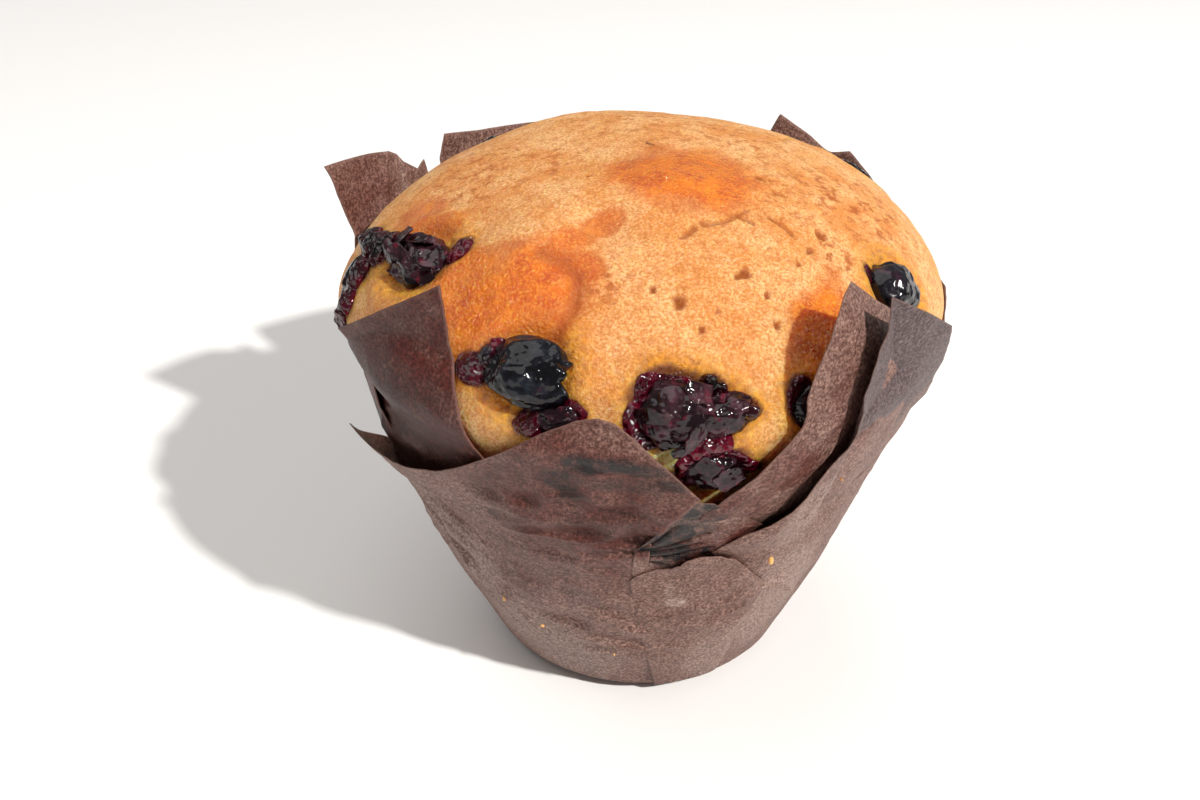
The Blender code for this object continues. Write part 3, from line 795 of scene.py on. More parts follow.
def shrivel(ways, plates, wrinkle, crown, seed):
    """How far out the skin lies in each direction, as a share of the full berry."""
    draw = np.random.default_rng(seed)
    skin = np.ones(len(ways))
    for _ in range(plates):
        way = draw.normal(size=3)
        way /= np.linalg.norm(way)
        reach = draw.uniform(0.76, 0.93)
        facing = ways @ way
        cut = np.where(facing > 0.05, reach / np.maximum(facing, 0.05), 9.0)
        skin = -np.log(np.exp(-skin * PLATE_EDGE) + np.exp(-cut * PLATE_EDGE)) / PLATE_EDGE
    bent = ways + 0.25 * lumps(ways, 0.5, seed + 9)[..., None]
    fold = 1.0 - np.abs(lumps(bent, 0.5, seed)) * 2.2
    small = 1.0 - np.abs(lumps(bent, 0.22, seed + 5)) * 2.2
    skin += wrinkle * (0.17 * fold + 0.045 * small + 0.2 * rough(ways, 0.8, 3, seed + 3))
    if crown:
        off = np.degrees(np.arccos(np.clip(ways[:, 0], -1.0, 1.0)))
        spin = np.arctan2(ways[:, 2], ways[:, 1])
        lobes = 0.65 + 0.35 * np.cos(5.0 * spin + seed) + 0.2 * lumps(ways, 0.2, seed)
        skin += 0.13 * lobes * np.exp(-((off - CROWN_RING) / 6.0) ** 2)
        skin -= 0.2 * np.exp(-(off / 20.0) ** 2) * (1.0 + 0.5 * lumps(ways, 0.18, seed + 2))
    return skin


def seat(middle, turn):
    """Axes of a berry on the dome: across, along and out."""
    across, along, out = tangents(middle)
    first, _ = turned(across, along, turn)
    return np.stack([first, np.cross(out, first), out])


def skin_flap(middle, axes, half, way, size, curl, seed):
    """A torn flap of skin that lies on a berry and curls off it on one side."""
    columns, rows = 20, 16
    way = np.array(way, dtype=float)
    way /= np.linalg.norm(way)
    aside = np.cross(way, (0.3, -0.2, 1.0))
    aside /= np.linalg.norm(aside)
    up = np.cross(way, aside)
    across = np.linspace(-1.0, 1.0, columns)[:, None]
    along = np.linspace(-1.0, 1.0, rows)[None, :]
    ragged = 1.0 + 0.3 * lumps(polar(np.degrees(np.arctan2(along, across)), 2.0, 0.0), 1.1, seed)
    rounded = ragged * (1.0 - 0.22 * (across * along) ** 2)
    ways = (way + size[0] * (across * rounded)[..., None] * aside
            + size[1] * (along * rounded)[..., None] * up)
    ways /= np.linalg.norm(ways, axis=-1, keepdims=True)
    lift = 1.0 + 0.05 * lumps(ways, 0.3, seed + 1) + curl * ((across + 1.0) / 2.0) ** 2.2
    lift = lift + 0.06 * along ** 2
    outside = middle + (ways * (lift + 0.03)[..., None] * half) @ axes
    inside = middle + (ways * (lift - 0.02)[..., None] * half) @ axes
    points, faces = thicken(outside, inside)
    ends = np.broadcast_to(ease(across + 0.0 * along, 0.2, 0.9), (columns, rows)).reshape(-1)
    return points, faces, {"torn": np.concatenate([ends * 0.5, np.ones(ends.size)]),
                           "purple": np.ones(ends.size * 2)}


# Flaps of skin on the burst berries: way out, half sizes, curl
FLAPS = {
    "blueberry_left": [
        ((-0.5, 0.3, 1.0), (0.45, 0.3), 0.28), ((0.1, 0.5, 1.0), (0.5, 0.25), 0.22),
        ((0.65, 0.1, 0.8), (0.35, 0.35), 0.25), ((0.2, -0.4, 1.0), (0.45, 0.22), 0.3),
        ((-0.45, -0.4, 0.9), (0.35, 0.25), 0.25), ((-0.9, 0.0, 0.6), (0.3, 0.35), 0.2),
        ((0.8, -0.5, 0.5), (0.3, 0.25), 0.2)],
    "blueberry_centre": [
        ((-0.7, 0.2, 0.8), (0.2, 0.75), 0.12), ((0.3, -0.7, 0.8), (0.4, 0.3), 0.2),
        ((0.7, 0.3, 0.7), (0.3, 0.3), 0.25), ((-0.1, -0.9, 0.5), (0.4, 0.2), 0.2)],
    "blueberry_front_low": [
        ((-0.4, 0.3, 1.0), (0.4, 0.3), 0.2), ((0.4, -0.1, 1.0), (0.35, 0.45), 0.22)],
    "blueberry_front_small": [((0.1, 0.3, 1.0), (0.45, 0.35), 0.15)],
    "blueberry_back": [((0.2, 0.5, 1.0), (0.4, 0.3), 0.2)],
}


def make_berry(name, number, finish):
    length, width, depth, turn, plates, wrinkle, crown, torn, purple = BERRY_LOOKS[name]
    middle, _ = BERRY_PLACES[name]
    ways = unit_ball(BERRY_COLUMNS, BERRY_ROWS)
    skin = shrivel(ways, plates, wrinkle, crown, 100 + number)
    half = np.array([length, width, depth]) / 2.0
    axes = seat(middle, turn)
    points = middle + (ways * skin[:, None] * half) @ axes
    patch = torn * ease(rough(ways, 0.6, 3, 200 + number), 0.0, 0.3)
    tone = np.full(len(ways), float(purple))
    if crown:
        off = np.degrees(np.arccos(np.clip(ways[:, 0], -1.0, 1.0)))
        tone = np.maximum(tone, 0.75 * (1.0 - ease(off, 20.0, CROWN_RING)))
        patch = np.maximum(patch, 0.5 * (1.0 - ease(off, 14.0, 22.0)))
    parts = [(points, ball_faces(BERRY_COLUMNS, BERRY_ROWS), {"torn": patch, "purple": tone})]
    for flap, (way, size, curl) in enumerate(FLAPS.get(name, ())):
        parts.append(skin_flap(middle, axes, half, way, size, curl, 300 + 10 * number + flap))
    points, faces, masks = join(parts)
    return piece(name + "_fruit", points, faces, finish, name, masks)


# ---- Juice and crumbs -----------------------------------------------------------

PUDDLE_SPOKES = 84
PUDDLE_RINGS = 15
PUDDLE_SUNK = 0.35        # how deep a puddle's underside lies in the crust


def puddle(azimuth, height, wide, long, turn, thick, thin, seed):
    """Thick juice lying on the crust: a closed lens with a wandering edge."""
    spin = 2.0 * np.pi * np.arange(PUDDLE_SPOKES)[:, None] / PUDDLE_SPOKES
    share = np.sin(np.linspace(0.06, np.pi / 2.0, PUDDLE_RINGS))[None, :]
    round_it = polar(np.degrees(spin[:, 0]), 1.0, seed * 3.0)
    edge = 1.0 + 0.30 * rough(round_it, 0.9, 3, seed)[:, None]
    first, second = wide * np.cos(spin) * edge * share, long * np.sin(spin) * edge * share
    base, normal, _ = crust(*drape(azimuth, height, *turned(first, second, -turn)))
    beads = 1.0 + 0.45 * lumps(base, 1.5, seed) + 0.25 * lumps(base, 0.8, seed + 1)
    lift = thick * np.sqrt(np.maximum(1.0 - share ** 2, 0.0)) * beads + 0.03
    top = base + normal * lift[..., None]
    under = base - normal * PUDDLE_SUNK
    line = np.concatenate([top, under[:, ::-1]], axis=1)
    points = np.concatenate([line.reshape(-1, 3), [top[:, 0].mean(axis=0),
                                                   under[:, 0].mean(axis=0)]])
    faces = capped(PUDDLE_SPOKES, line.shape[1], flip=True)
    red = np.broadcast_to(thin + (1.0 - thin) * 0.75 * share ** 4, lift.shape)
    both = np.concatenate([red, red[:, ::-1]], axis=1).reshape(-1)
    return points, faces, {"thin": np.concatenate([both, [thin, thin]])}


def make_juice(finish):
    parts = [puddle(*spot, 500 + 7 * number) for number, spot in enumerate(JUICE)]
    points, faces, masks = join(parts)
    piece("blueberry_juice_drops", points, faces, finish, None, masks)


# Crumbs that stick to the paper: azimuth, height, how far out they lie, half sizes
CRUMBS = [
    (295.6, 36.4, 1.5, 0.35, 0.7), (233.0, 22.2, 1.0, 0.2, 0.5), (243.0, 18.6, 1.0, 0.3, 0.2),
    (262.0, 14.2, 1.0, 0.15, 0.12), (303.0, 52.0, 1.5, 0.12, 0.16),
    (130.0, 30.0, 0.4, 0.3, 0.4), (60.0, 25.0, 0.4, 0.3, 0.25),
    (20.0, 34.0, 0.4, 0.35, 0.3), (170.0, 18.0, 0.4, 0.25, 0.25),
]


def make_crumbs(finish):
    columns, rows = 14, 9
    ways = unit_ball(columns, rows)
    parts = []
    for number, (azimuth, height, out, wide, tall) in enumerate(CRUMBS):
        middle = polar(azimuth, wall_radius(azimuth, height) + out + 0.1, height)
        across = polar(azimuth + 90.0, 1.0, 0.0)
        outer = polar(azimuth, 1.0, 0.0)
        shape = ways * (1.0 + 0.3 * lumps(ways, 0.7, 800 + number))[:, None]
        shape = shape * (wide, tall, 0.25)
        points = middle + shape @ np.stack([across, (0.0, 0.0, 1.0), outer])
        parts.append((points, ball_faces(columns, rows), {}))
    points, faces, _ = join(parts)
    piece("cake_crumbs", points, faces, finish)


# ---- Paper --------------------------------------------------------------------

SHEET = 0.16              # thickness that still shows as an edge
ROOM = 0.6                # what a petal keeps clear of the bulging cake
LOOKS = ("grease_and_shade", "soaked", "wear_and_painted_light", "wet", "painted_shade")
# Millimetres round the paper to a degree, as each of these reckons it
EDGE_ARC, SIZE_ARC, CREASE_ARC = 0.75, 0.72, 0.7
CRUMPLE_RADIUS = 36.0     # the case's middle radius, where dents are measured out
WRINKLE_RADIUS = 40.0     # and its radius where the long wrinkles run


def run_along(line, shares):
    """Places at equal shares of a broken line's length."""
    line = np.array(line, dtype=float)
    steps = np.linalg.norm(np.diff(line[:, :2], axis=0) * (EDGE_ARC, 1.0), axis=1)
    marks = np.concatenate([[0.0], np.cumsum(steps)]) / steps.sum()
    return np.stack([np.interp(shares, marks, line[:, i]) for i in range(3)], axis=-1)


def patch(left, right, top, columns, rows):
    """Azimuth, height and lean over a petal, from its left, right and top edges.

    The bottom runs straight between the two side edges.
    """
    across, up = np.linspace(0.0, 1.0, columns), np.linspace(0.0, 1.0, rows)
    left, right = run_along(left, up), run_along(right, up)
    top = run_along(top, across)
    bottom = left[0] + (right[0] - left[0]) * across[:, None]
    a, b = across[:, None, None], up[None, :, None]
    sides = left[None] * (1 - a) + right[None] * a
    ends = bottom[:, None] * (1 - b) + top[:, None] * b
    corners = ((left[0] * (1 - a) + right[0] * a) * (1 - b)
               + (left[-1] * (1 - a) + right[-1] * a) * b)
    return sides + ends - corners


def layer_radius(azimuth, height, layer):
    """Where a layer lies if it follows the wall: tight low down, parted above."""
    parted = ease(height, 36.0, RIM_HEIGHT)
    return wall_radius(azimuth, height) + 0.12 + layer * (0.35 + 0.65 * parted)


def leaning(edge, layer):
    """An edge with how far each point leans out, from the radius it reaches, if any."""
    return [(a, h, reach[0] - float(layer_radius(a, h, layer)) if reach else 0.0)
            for a, h, *reach in edge]


def crumple(azimuth, height, seed, strength):
    """Buckles, wrinkles and small dents of handled paper, in millimetres."""
    run, height = np.broadcast_arrays(np.radians(azimuth) * CRUMPLE_RADIUS, height)
    flat = np.stack([run, height, np.full(run.shape, seed * 5.0)], axis=-1)
    wide = flat * (1.0, 0.55, 1.0)
    level = flat * (0.4, 1.0, 1.0)
    folds = 1.0 - 2.0 * np.abs(lumps(level, 4.2, seed + 2))
    small = 1.0 - 2.0 * np.abs(lumps(flat + 0.8 * lumps(flat, 3.0, seed + 5)[..., None], 2.4,
                                     seed + 4))
    total = 0.34 * lumps(wide, 13.0, seed) + 0.14 * lumps(flat, 5.0, seed + 1)
    total += 0.18 * folds + 0.09 * small
    return total * strength


def wrinkles(azimuth, height, region, tilt, pitch, depth, seed):
    """Long wrinkles side by side over a region: azimuth, height, half width, half height."""
    middle_azimuth, middle_height, wide, tall = region
    across = np.radians(azimuth - middle_azimuth) * WRINKLE_RADIUS
    along = height - middle_height
    run, side = turned(across, along, tilt)
    flat = np.stack([run / 6.0, side / pitch, np.full(run.shape, float(seed))], axis=-1)
    folds = 1.0 - 2.0 * np.abs(lumps(flat, 1.0, seed))
    share = 1.0 - ease(np.hypot(across / wide, along / tall), 0.45, 1.0)
    return depth * folds * share


def crease(azimuth, height, line, depth, width):
    """A folded line: a ridge or groove that falls away on both sides."""
    here = np.stack([azimuth * CREASE_ARC, height], axis=-1)
    path = [(a * CREASE_ARC, h) for a, h in line]
    return depth * np.exp(-along_line(here, path) / width)


def thicken(outside, inside):
    """Points and faces of a thin closed sheet from its two sides."""
    columns, rows = outside.shape[:2]
    count = columns * rows
    points = np.concatenate([outside.reshape(-1, 3), inside.reshape(-1, 3)])
    faces = grid_faces(columns, rows).tolist()
    faces += grid_faces(columns, rows, first=count, flip=True).tolist()
    rim = [i * rows for i in range(columns)]
    rim += [(columns - 1) * rows + i for i in range(1, rows)]
    rim += [i * rows + rows - 1 for i in range(columns - 2, -1, -1)]
    rim += list(range(rows - 2, 0, -1))
    for here, there in zip(rim, rim[1:] + rim[:1]):
        faces.append((there, here, here + count, there + count))
    return points, faces


def edge_highlight(columns, rows, step):
    """1 along the cut edges of a sheet, fading within a millimetre: a painted highlight where
    the edges catch the light.
    """
    across = np.minimum(np.arange(columns), np.arange(columns)[::-1])[:, None]
    down = np.arange(rows)[::-1][None, :]
    return 0.5 * np.exp(-np.minimum(across, down) * step / 0.18)


def spotted(azimuth, height, spots, seed):
    """Soft uneven spots: azimuth, height, half width, half height, strength."""
    share = np.zeros(azimuth.shape)
    flat = np.stack([azimuth * CREASE_ARC, height, np.full(azimuth.shape, float(seed))], axis=-1)
    uneven = 0.28 * rough(flat, 4.0, 4, seed)
    for spot_azimuth, spot_height, wide, tall, strength in spots:
        away = np.hypot((azimuth - spot_azimuth) * SIZE_ARC / wide,
                        (height - spot_height) / tall)
        share = np.maximum(share, strength * (1.0 - ease(away + uneven, 0.5, 1.05)))
    return share


def make_petal(name, finish, left, right, top, layer, seed, strength=1.0, creases=(),
               step=0.6, looks=None, folds=(), sunk=None):
    """One layer of the case, from its edges. layer is how far it lies out from the wall.
    sunk draws it in from one azimuth to another, so that it slips under its neighbour."""
    left, right, top = (leaning(edge, layer) for edge in (left + top[:1], right + top[-1:], top))
    wide = max(abs(right[-1][0] - left[-1][0]), abs(right[0][0] - left[0][0])) * SIZE_ARC
    tall = max(left[-1][1] - left[0][1], right[-1][1] - right[0][1], max(t[1] for t in top))
    columns, rows = max(6, int(wide / step)), max(6, int(tall / step))
    form = patch(left, right, top, columns, rows)
    azimuth, height, lean = form[..., 0], form[..., 1], form[..., 2]
    ripple = crumple(azimuth, height, seed, strength)
    masks = {look: spotted(azimuth, height, (looks or {}).get(look, ()), seed)
             for look in LOOKS}
    for line, depth, width in creases:
        ridge = crease(azimuth, height, line, depth, width)
        ripple = ripple + ridge
        masks["wear_and_painted_light"] = np.maximum(masks["wear_and_painted_light"], np.clip(ridge * 1.2, 0.0, 0.7))
    for region, tilt, pitch, depth in folds:
        ripple = ripple + wrinkles(azimuth, height, region, tilt, pitch, depth, seed + 30)
    radius = layer_radius(azimuth, height, layer) + lean * ease(height, 38.0, 46.0)
    clear = cake_radius(azimuth, height) + ROOM + layer
    radius = np.where(height > PART_HEIGHT, np.maximum(radius, clear), radius)
    radius = radius + ripple * (0.35 + 0.65 * ease(height, 4.0, 20.0))
    if sunk:
        start, end, depth = sunk
        radius = radius - depth * ease(azimuth, start, end)
    outside = polar(azimuth, radius + SHEET / 2, height)
    inside = polar(azimuth, radius - SHEET / 2, height)
    points, faces = thicken(outside, inside)
    # The edge mask is a painted highlight along the cut edges
    masks["edge"] = edge_highlight(columns, rows, step)
    masks = {key: np.concatenate([value.reshape(-1)] * 2) for key, value in masks.items()}
    return piece(name, points, faces, finish, "paper_case", masks)


CUP_COLUMNS = 420
CUP_ROWS = 60


def make_cup(finish):
    """The innermost sheet: a flat bottom and the plain wall, in one."""
    azimuth = (np.arange(CUP_COLUMNS) * 360.0 / CUP_COLUMNS)[:, None]
    edge = 44.0 + 1.2 * lumps(polar(azimuth[:, 0], 8.0, 3.0), 3.0, 70)
    share = np.linspace(0.0, 1.0, CUP_ROWS)[None, :]
    height = CORNER + (edge[:, None] - CORNER) * share
    ripple = crumple(azimuth, height, 71, 0.6) * ease(height, 4.0, 20.0)
    radius = wall_radius(azimuth, height) + ripple * 0.5
    outside = polar(azimuth, radius, height)
    inside = polar(azimuth, radius - SHEET, height)
    # The bottom and its rounded corner, seen from below and from inside: how far each
    # ring lies out from the base radius, and its height
    under, over = (
        np.stack([polar(azimuth[:, 0], BASE_RADIUS + out, high) for out, high in rings], axis=1)
        for rings in ([(-8.0, 0.0), (-1.6, 0.0), (-0.3, 0.5), (0.35, 1.3)],
                      [(0.1, 1.4), (-0.6, 0.7), (-8.0, 0.3)]))
    line = np.concatenate([under, outside, inside[:, ::-1], over], axis=1)
    points = np.concatenate([line.reshape(-1, 3), [(0.0, 0.0, 0.0), (0.0, 0.0, 0.3)]])
    faces = capped(CUP_COLUMNS, line.shape[1])
    masks = {name: np.zeros(len(points)) for name in LOOKS + ("edge",)}
    return piece("paper_cup", points, faces, finish, "paper_case", masks)


# The layers of the case, from the inside out. An edge is a line of points, each with its
# azimuth, its height and the radius it reaches, which is left out where it follows the
# wall. left and right lead up to the first and the last point of top. A crease is a line,
# its depth and width. A look is a list of spots: azimuth, height, half sizes, strength.
PETALS = {
    "paper_left_petal": dict(
        left=[(206, 4), (206, 46), (205, 55, 43.0), (205.6, 60, 43.8)],
        right=[(246, 4), (243, 46), (242, 56.2, 43.4), (238, 63.8, 42.9), (233.5, 70, 41.4)],
        top=[(206.5, 64.5, 46.0), (218, 70.6, 43.0), (231.5, 77, 40.6)],
        layer=0.1, seed=1, strength=0.7, step=0.5,
        creases=[([(206, 47), (212, 53), (219, 56), (226, 55)], 0.25, 0.5),
                 ([(209, 47), (216, 50.5), (226, 51.5)], 0.2, 0.4)],
        looks={"soaked": [(222, 60, 30, 34, 1.0)], "grease_and_shade": [(220, 50, 20, 18, 0.6)]}),
    "paper_left_petal_lining": dict(
        left=[(203, 40), (203.2, 46), (203, 54, 42.6)],
        right=[(214, 40), (214, 46), (213, 54, 43.2)],
        top=[(204.4, 60, 43.0), (211.5, 60.5, 43.6)],
        layer=-0.5, seed=9, strength=0.3, looks={"soaked": [(208, 52, 12, 14, 1.0)]}),
    "paper_inner_strip": dict(
        left=[(276, 4), (276.5, 46), (277.5, 51, 43.6), (281.8, 55.0, 44.8),
              (285.3, 57.7, 45.4), (287.2, 59.6, 45.6), (290.6, 62.7, 45.7),
              (291.7, 63.9, 45.7), (292.3, 65.8, 45.7), (292.1, 67.7, 45.6),
              (293.1, 70.6, 45.4), (294.1, 72.4, 45.2), (295.4, 74.3, 44.9),
              (296.2, 75.7, 44.5), (297.9, 77.2, 43.6), (299.8, 78.2, 42.3)],
        right=[(334, 4), (334, 46), (329.5, 57, 42.8), (325, 63, 43.4)],
        top=[(302.8, 78.9, 40.9), (308.5, 75.4, 41.6), (311.6, 73.8, 42.0), (318, 70, 42.6)],
        layer=0.1, seed=2, strength=0.8, step=0.5, sunk=(306, 316, 0.5),
        creases=[([(281, 52), (290, 57), (299, 63), (303, 70)], 0.3, 0.7),
                 ([(285, 50.5), (294, 54), (301, 60)], 0.25, 0.5),
                 ([(279, 50.5), (287, 53.5), (296, 59)], 0.15, 0.4)],
        looks={"soaked": [(283, 52, 6, 5, 0.8), (292, 57, 6, 5, 0.7), (303, 63, 5, 10, 0.45)],
               "grease_and_shade": [(279, 50, 3, 3, 0.7)]}),
    # Between the strip and the fold in front, soaked and creased together
    "paper_wet_pleat": dict(
        left=[(267.2, 33), (266.6, 38)],
        right=[(293, 33), (292.5, 40)],
        top=[(267.2, 43.4), (270.4, 47.2), (273.2, 51.0), (276.4, 54.6), (279.2, 54.0),
             (283.4, 50.6), (285.6, 49.6), (291, 45.6)],
        layer=0.95, seed=10, strength=0.35, step=0.22, sunk=(284, 293, 0.5),
        creases=[([(267.6, 42.4), (274, 44.6), (280, 46.8)], -0.8, 0.3),
                 ([(267.6, 42.0), (273, 43.2), (279, 44.4)], -0.7, 0.28),
                 ([(268, 41.2), (274, 41.6), (281, 43.0)], -0.7, 0.28),
                 ([(268.4, 40.4), (272, 39.6)], -0.6, 0.28),
                 ([(268, 43.0), (271, 45.6), (274, 49.0)], -0.7, 0.35),
                 ([(281, 47.5), (286, 47.2), (291, 46.2)], 0.2, 0.3)],
        # The spot at (277, 41) is painted shade: near black in the gap above the fold in front
        looks={"grease_and_shade": [(272, 42.5, 6, 4, 1.0), (273, 48, 6, 5, 1.0), (276, 52, 5, 4, 1.0),
                          (277, 41, 8, 3.4, 1.0)],
               "wet": [(272, 45, 9, 8, 1.0), (280, 47, 7, 5, 0.8)],
               "soaked": [(279, 44, 12, 6, 0.8)], "wear_and_painted_light": [(276, 46.4, 6, 1.4, 0.55)]}),
    "paper_right_petal": dict(
        left=[(336, 4), (338, 46)],
        right=[(384, 4), (382, 46)],
        top=[(345, 56, 43.6), (358, 60.5, 44.6), (374, 59.5, 45.2)],
        layer=0.1, seed=3),
    "paper_back_right_petal": dict(
        left=[(378, 4), (382, 46)],
        right=[(433, 4), (431, 46)],
        top=[(384, 55, 46.4), (390, 62, 47.6), (396, 65.6, 48.2), (402, 68.4, 48.6),
             (407, 67, 48.6), (419, 71.6, 49), (422, 66, 48.4)],
        layer=0.1, seed=4, creases=[([(404, 50), (407, 67)], 0.4, 0.8)],
        looks={"grease_and_shade": [(399, 66, 5, 3, 0.5)]}),
    "paper_back_left_petal": dict(
        left=[(496, 4), (497, 46)],
        right=[(548, 4), (544, 43), (523, 61.5, 47.8)],
        top=[(498.5, 67, 49), (501.5, 66.4, 48), (505, 68.6, 48), (506, 70, 48),
             (509, 71.5, 48.5), (514.5, 72.3, 49), (520, 73, 49.6), (524.6, 73.3, 50.5)],
        layer=0.1, seed=5, step=0.5,
        creases=[([(509.5, 71.5), (514, 64), (521, 56), (528, 48)], -0.8, 1.2),
                 ([(506, 70), (508, 60), (512, 50)], 0.5, 0.7),
                 ([(502, 66), (503, 56), (505, 46)], -0.4, 0.6)],
        looks={"soaked": [(518, 66, 7, 9, 0.5)]}),
    "paper_back_petal": dict(
        left=[(72, 4), (72, 39), (84, 62, 48.6)],
        right=[(136, 4), (135, 46), (135.3, 54), (134.3, 66, 49.0)],
        top=[(95, 66, 50.2), (109, 68.2, 50.6), (124, 68.8, 49.6), (132.5, 70, 49.2)],
        layer=0.5, seed=6),
    "paper_right_panel": dict(
        left=[(275.5, 2.6), (270, 30)],
        right=[(337, 2.6), (336, 38), (333.3, 54, 43.4), (328, 62.5, 45.3)],
        top=[(281.5, 40), (283.5, 43.8, 41.3), (285.2, 45.2, 42.0), (290, 47.7, 43.6),
             (292.7, 50.5, 45.0), (294.1, 53.2, 46.0), (295.4, 55.7, 46.5),
             (297.2, 58.1, 46.8), (299.3, 59.7, 47.0), (300.6, 61.7, 47.1),
             (300.9, 64.5, 47.2), (300.7, 67.2, 47.2), (301.4, 68.8, 47.2),
             (301.9, 71.0, 47.1), (302.7, 73.2, 47.0), (303.8, 74.7, 46.9),
             (304.2, 76.7, 46.5), (304.7, 78.7, 46.0), (313, 74.6, 46.6),
             (321.8, 69.8, 46.6)],
        layer=0.75, seed=7, strength=0.8, step=0.42,
        creases=[([(295.4, 40), (297.4, 43.5), (298, 47)], 0.25, 0.4),
                 ([(298.4, 48), (299.6, 53)], 0.25, 0.5),
                 ([(292, 28), (305, 26.4), (318, 17)], 0.3, 0.5),
                 ([(300, 40), (306, 46), (310, 54)], 0.2, 0.7)],
        # The narrow spot is real wear along the folds; the wide spot low down is painted light
        # from the floor below
        looks={"wear_and_painted_light": [(300, 46, 6, 10, 0.6), (305, 22, 12, 16, 0.7)],
               # Painted shade over the top right of the panel, where it faces away from the
               # light
               "painted_shade": [(318, 70, 22, 24, 0.85)]}),
    "paper_front_fold": dict(
        left=[(274.6, 2.6), (270.4, 14.8), (267.7, 25.9)],
        right=[(318, 2.6), (312, 14)],
        top=[(266.1, 35.6), (268.2, 37.2), (271, 38.5), (274.2, 38.8), (276.5, 41.0),
             (279.3, 41.8), (283, 41.4), (286.8, 39.2), (291.4, 35), (298, 29.4),
             (305.2, 25.4)],
        layer=1.85, seed=11, strength=0.8, step=0.35, sunk=(294, 306, 1.3),
        creases=[([(268, 28.4), (274, 29.4), (281, 27.4), (287, 27.2), (292, 28.4)], 0.22, 0.35),
                 ([(270, 22.8), (280, 23), (290, 21)], 0.16, 0.4),
                 ([(271.6, 17), (282, 15.4), (294, 18)], 0.14, 0.4),
                 ([(291, 34), (286, 30), (284, 24)], 0.2, 0.5)],
        folds=[((282, 22, 16, 14), 8, 3.2, 0.34)],
        # The two small spots are real rubbed marks; the wide spot low down is painted light from
        # the floor below
        looks={"wear_and_painted_light": [(276.2, 29.6, 2.4, 1.4, 1.0), (274.6, 33, 1.0, 2.4, 0.5),
                        (296, 12, 14, 12, 0.55)]}),
    "paper_front_petal": dict(
        left=[(190, 2.6), (193, 34), (198, 41, 42.4)],
        right=[(276, 2.6), (269.5, 36), (270.1, 45.4), (272.6, 50, 43.6)],
        top=[(205.4, 48.6, 46.2), (208.6, 47.4, 45.2), (213.3, 47.0, 44.4), (219, 48.2, 44.6),
             (225.2, 49.8, 44.8), (232.2, 52.0, 44.8), (238, 55, 45.1), (245.6, 59.2, 45.2),
             (250, 62, 45.1), (254.4, 64.4, 45), (258, 66, 44.8), (261.3, 66.6, 44.6),
             (264, 66.0, 44.6), (267, 64, 44.8), (270.6, 61, 45.1), (276.9, 55.2, 45.2)],
        layer=0.6, seed=8, strength=0.9, step=0.38,
        creases=[([(240.6, 40), (237, 31), (234, 23)], -0.3, 0.3),
                 ([(234, 23), (239.8, 14), (250, 9)], 0.22, 0.4),
                 ([(222, 26), (228, 18), (233, 12)], 0.35, 0.5),
                 ([(252.6, 40), (251.4, 28), (250, 18)], -0.14, 0.3),
                 ([(254, 56.4), (258.4, 59.6), (263, 58.6), (269, 58.6), (273, 56)], -0.3, 0.5),
                 ([(206, 42.5), (222, 41), (240, 33)], 0.2, 0.6),
                 ([(204, 40), (216, 36), (230, 26)], 0.2, 0.6)],
        folds=[((258, 46, 17, 12), 10, 2.1, 0.6), ((252, 22, 22, 14), -6, 3.0, 0.45),
               ((216, 34, 14, 14), -28, 1.8, 0.4)],
        looks={"grease_and_shade": [(255.2, 56.4, 3.0, 2.8, 0.9), (259.4, 59.8, 3.4, 2.0, 1.0),
                          (264.4, 60.4, 3.6, 1.5, 1.0), (269, 59.4, 3.2, 1.4, 0.8),
                          (272.6, 57.2, 2.2, 1.4, 0.7), (257, 53.6, 2.4, 1.6, 0.7),
                          (266, 56.6, 6, 1.6, 0.5), (262, 48, 8, 4, 0.3)],
               "soaked": [(258, 52, 18, 17, 0.85), (252, 36, 14, 12, 0.5)],
               # These lighter spots are painted light: a grey sheen on the left and light from
               # the floor low down
               "wear_and_painted_light": [(212, 38, 12, 9, 0.4), (222, 28, 10, 12, 0.5), (240, 12, 20, 14, 0.6),
                        (252, 30, 8, 10, 0.35)]}),
}


def make_case(finish):
    make_cup(finish)
    for name, form in PETALS.items():
        make_petal(name, finish, **form)


# ---- Light, floor and camera ------------------------------------------------------


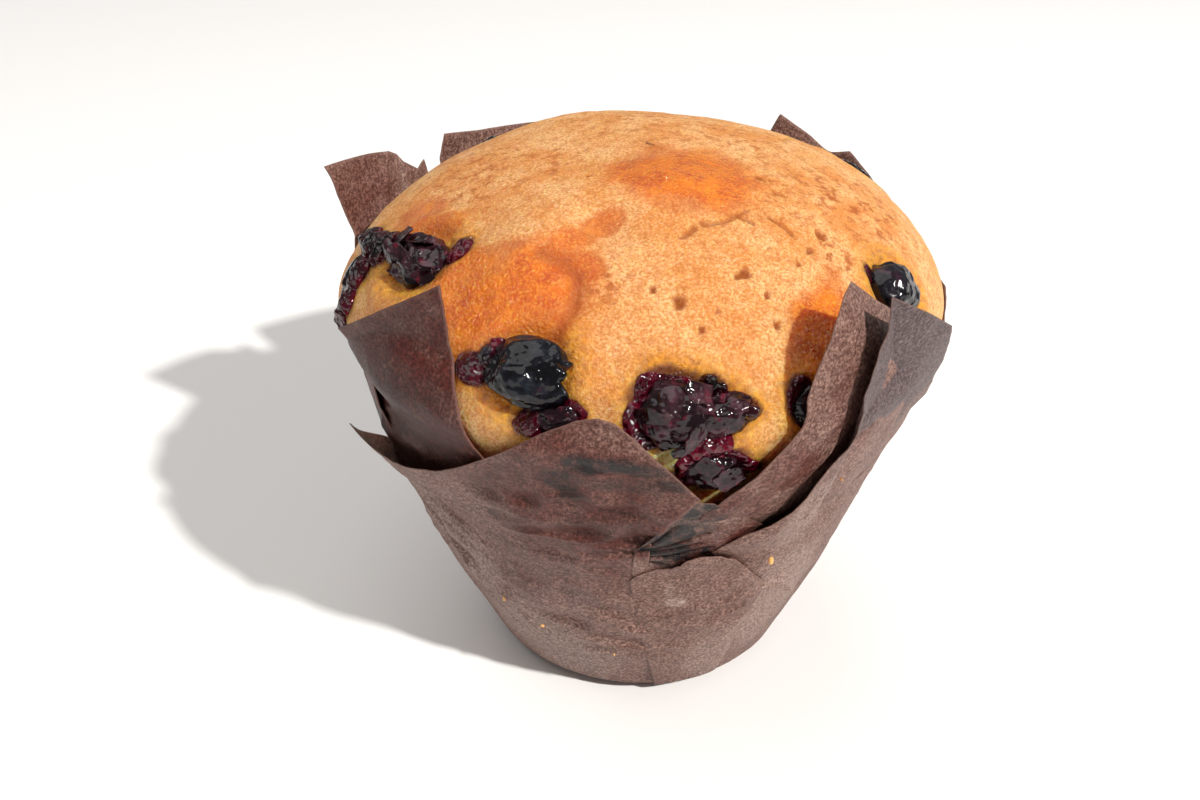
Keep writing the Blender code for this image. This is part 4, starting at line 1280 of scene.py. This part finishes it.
def make_floor():
    made, _, shader = new_material("white card")
    shader.inputs["Base Color"].default_value = tint("#fbfaf8")
    shader.inputs["Roughness"].default_value = 0.8
    corners = [(-3.0, -3.0, 0.0), (3.0, -3.0, 0.0), (3.0, 3.0, 0.0), (-3.0, 3.0, 0.0)]
    mesh = bpy.data.meshes.new("floor")
    mesh.from_pydata(corners, [], [(0, 1, 2, 3)])
    mesh.materials.append(made)
    floor = bpy.data.objects.new("floor", mesh)
    bpy.context.scene.collection.objects.link(floor)


def softbox(name, place, size, power, colour):
    """A round light at a place in metres, turned to face the muffin."""
    lamp = bpy.data.lights.new(name, "AREA")
    lamp.shape = "DISK"
    lamp.size = size
    lamp.energy = power
    lamp.color = colour
    made = bpy.data.objects.new(name, lamp)
    bpy.context.scene.collection.objects.link(made)
    made.location = place
    way = Vector((0.0, 0.0, 0.06)) - Vector(place)
    made.rotation_euler = way.to_track_quat("-Z", "Y").to_euler()


def make_lights():
    softbox("key_softbox", (0.61, -0.55, 0.83), 0.05, 15.0, (1.0, 0.98, 0.95))
    softbox("fill_softbox", (-0.5, 0.4, 1.6), 2.0, 16.0, (1.0, 0.98, 0.96))
    world = bpy.data.worlds.new("pale room")
    bpy.context.scene.world = world
    world.use_nodes = True
    ground = world.node_tree.nodes["Background"]
    ground.inputs["Color"].default_value = (1.0, 1.0, 1.0, 1.0)
    ground.inputs["Strength"].default_value = 0.2
    bpy.context.scene.view_settings.view_transform = "Standard"


CAMERA_PITCH = 34.0       # degrees that the camera looks down


def make_camera():
    lens = bpy.data.cameras.new("camera")
    lens.lens = 33.0
    lens.sensor_width = 36.0
    lens.clip_start = 0.005
    camera = bpy.data.objects.new("camera", lens)
    bpy.context.scene.collection.objects.link(camera)
    camera.location = (-0.0065, -0.1465, 0.138)
    camera.rotation_euler = (math.radians(90.0 - CAMERA_PITCH), 0.0, 0.0)
    bpy.context.scene.camera = camera


make_floor()
make_lights()
make_camera()
make_cake(baked_crust())
skin = blueberry_skin()
for berry_number, berry_name in enumerate(BERRY_LOOKS):
    make_berry(berry_name, berry_number, skin)
make_juice(blueberry_juice())
make_case(greaseproof_paper())
make_crumbs(crumb_finish())
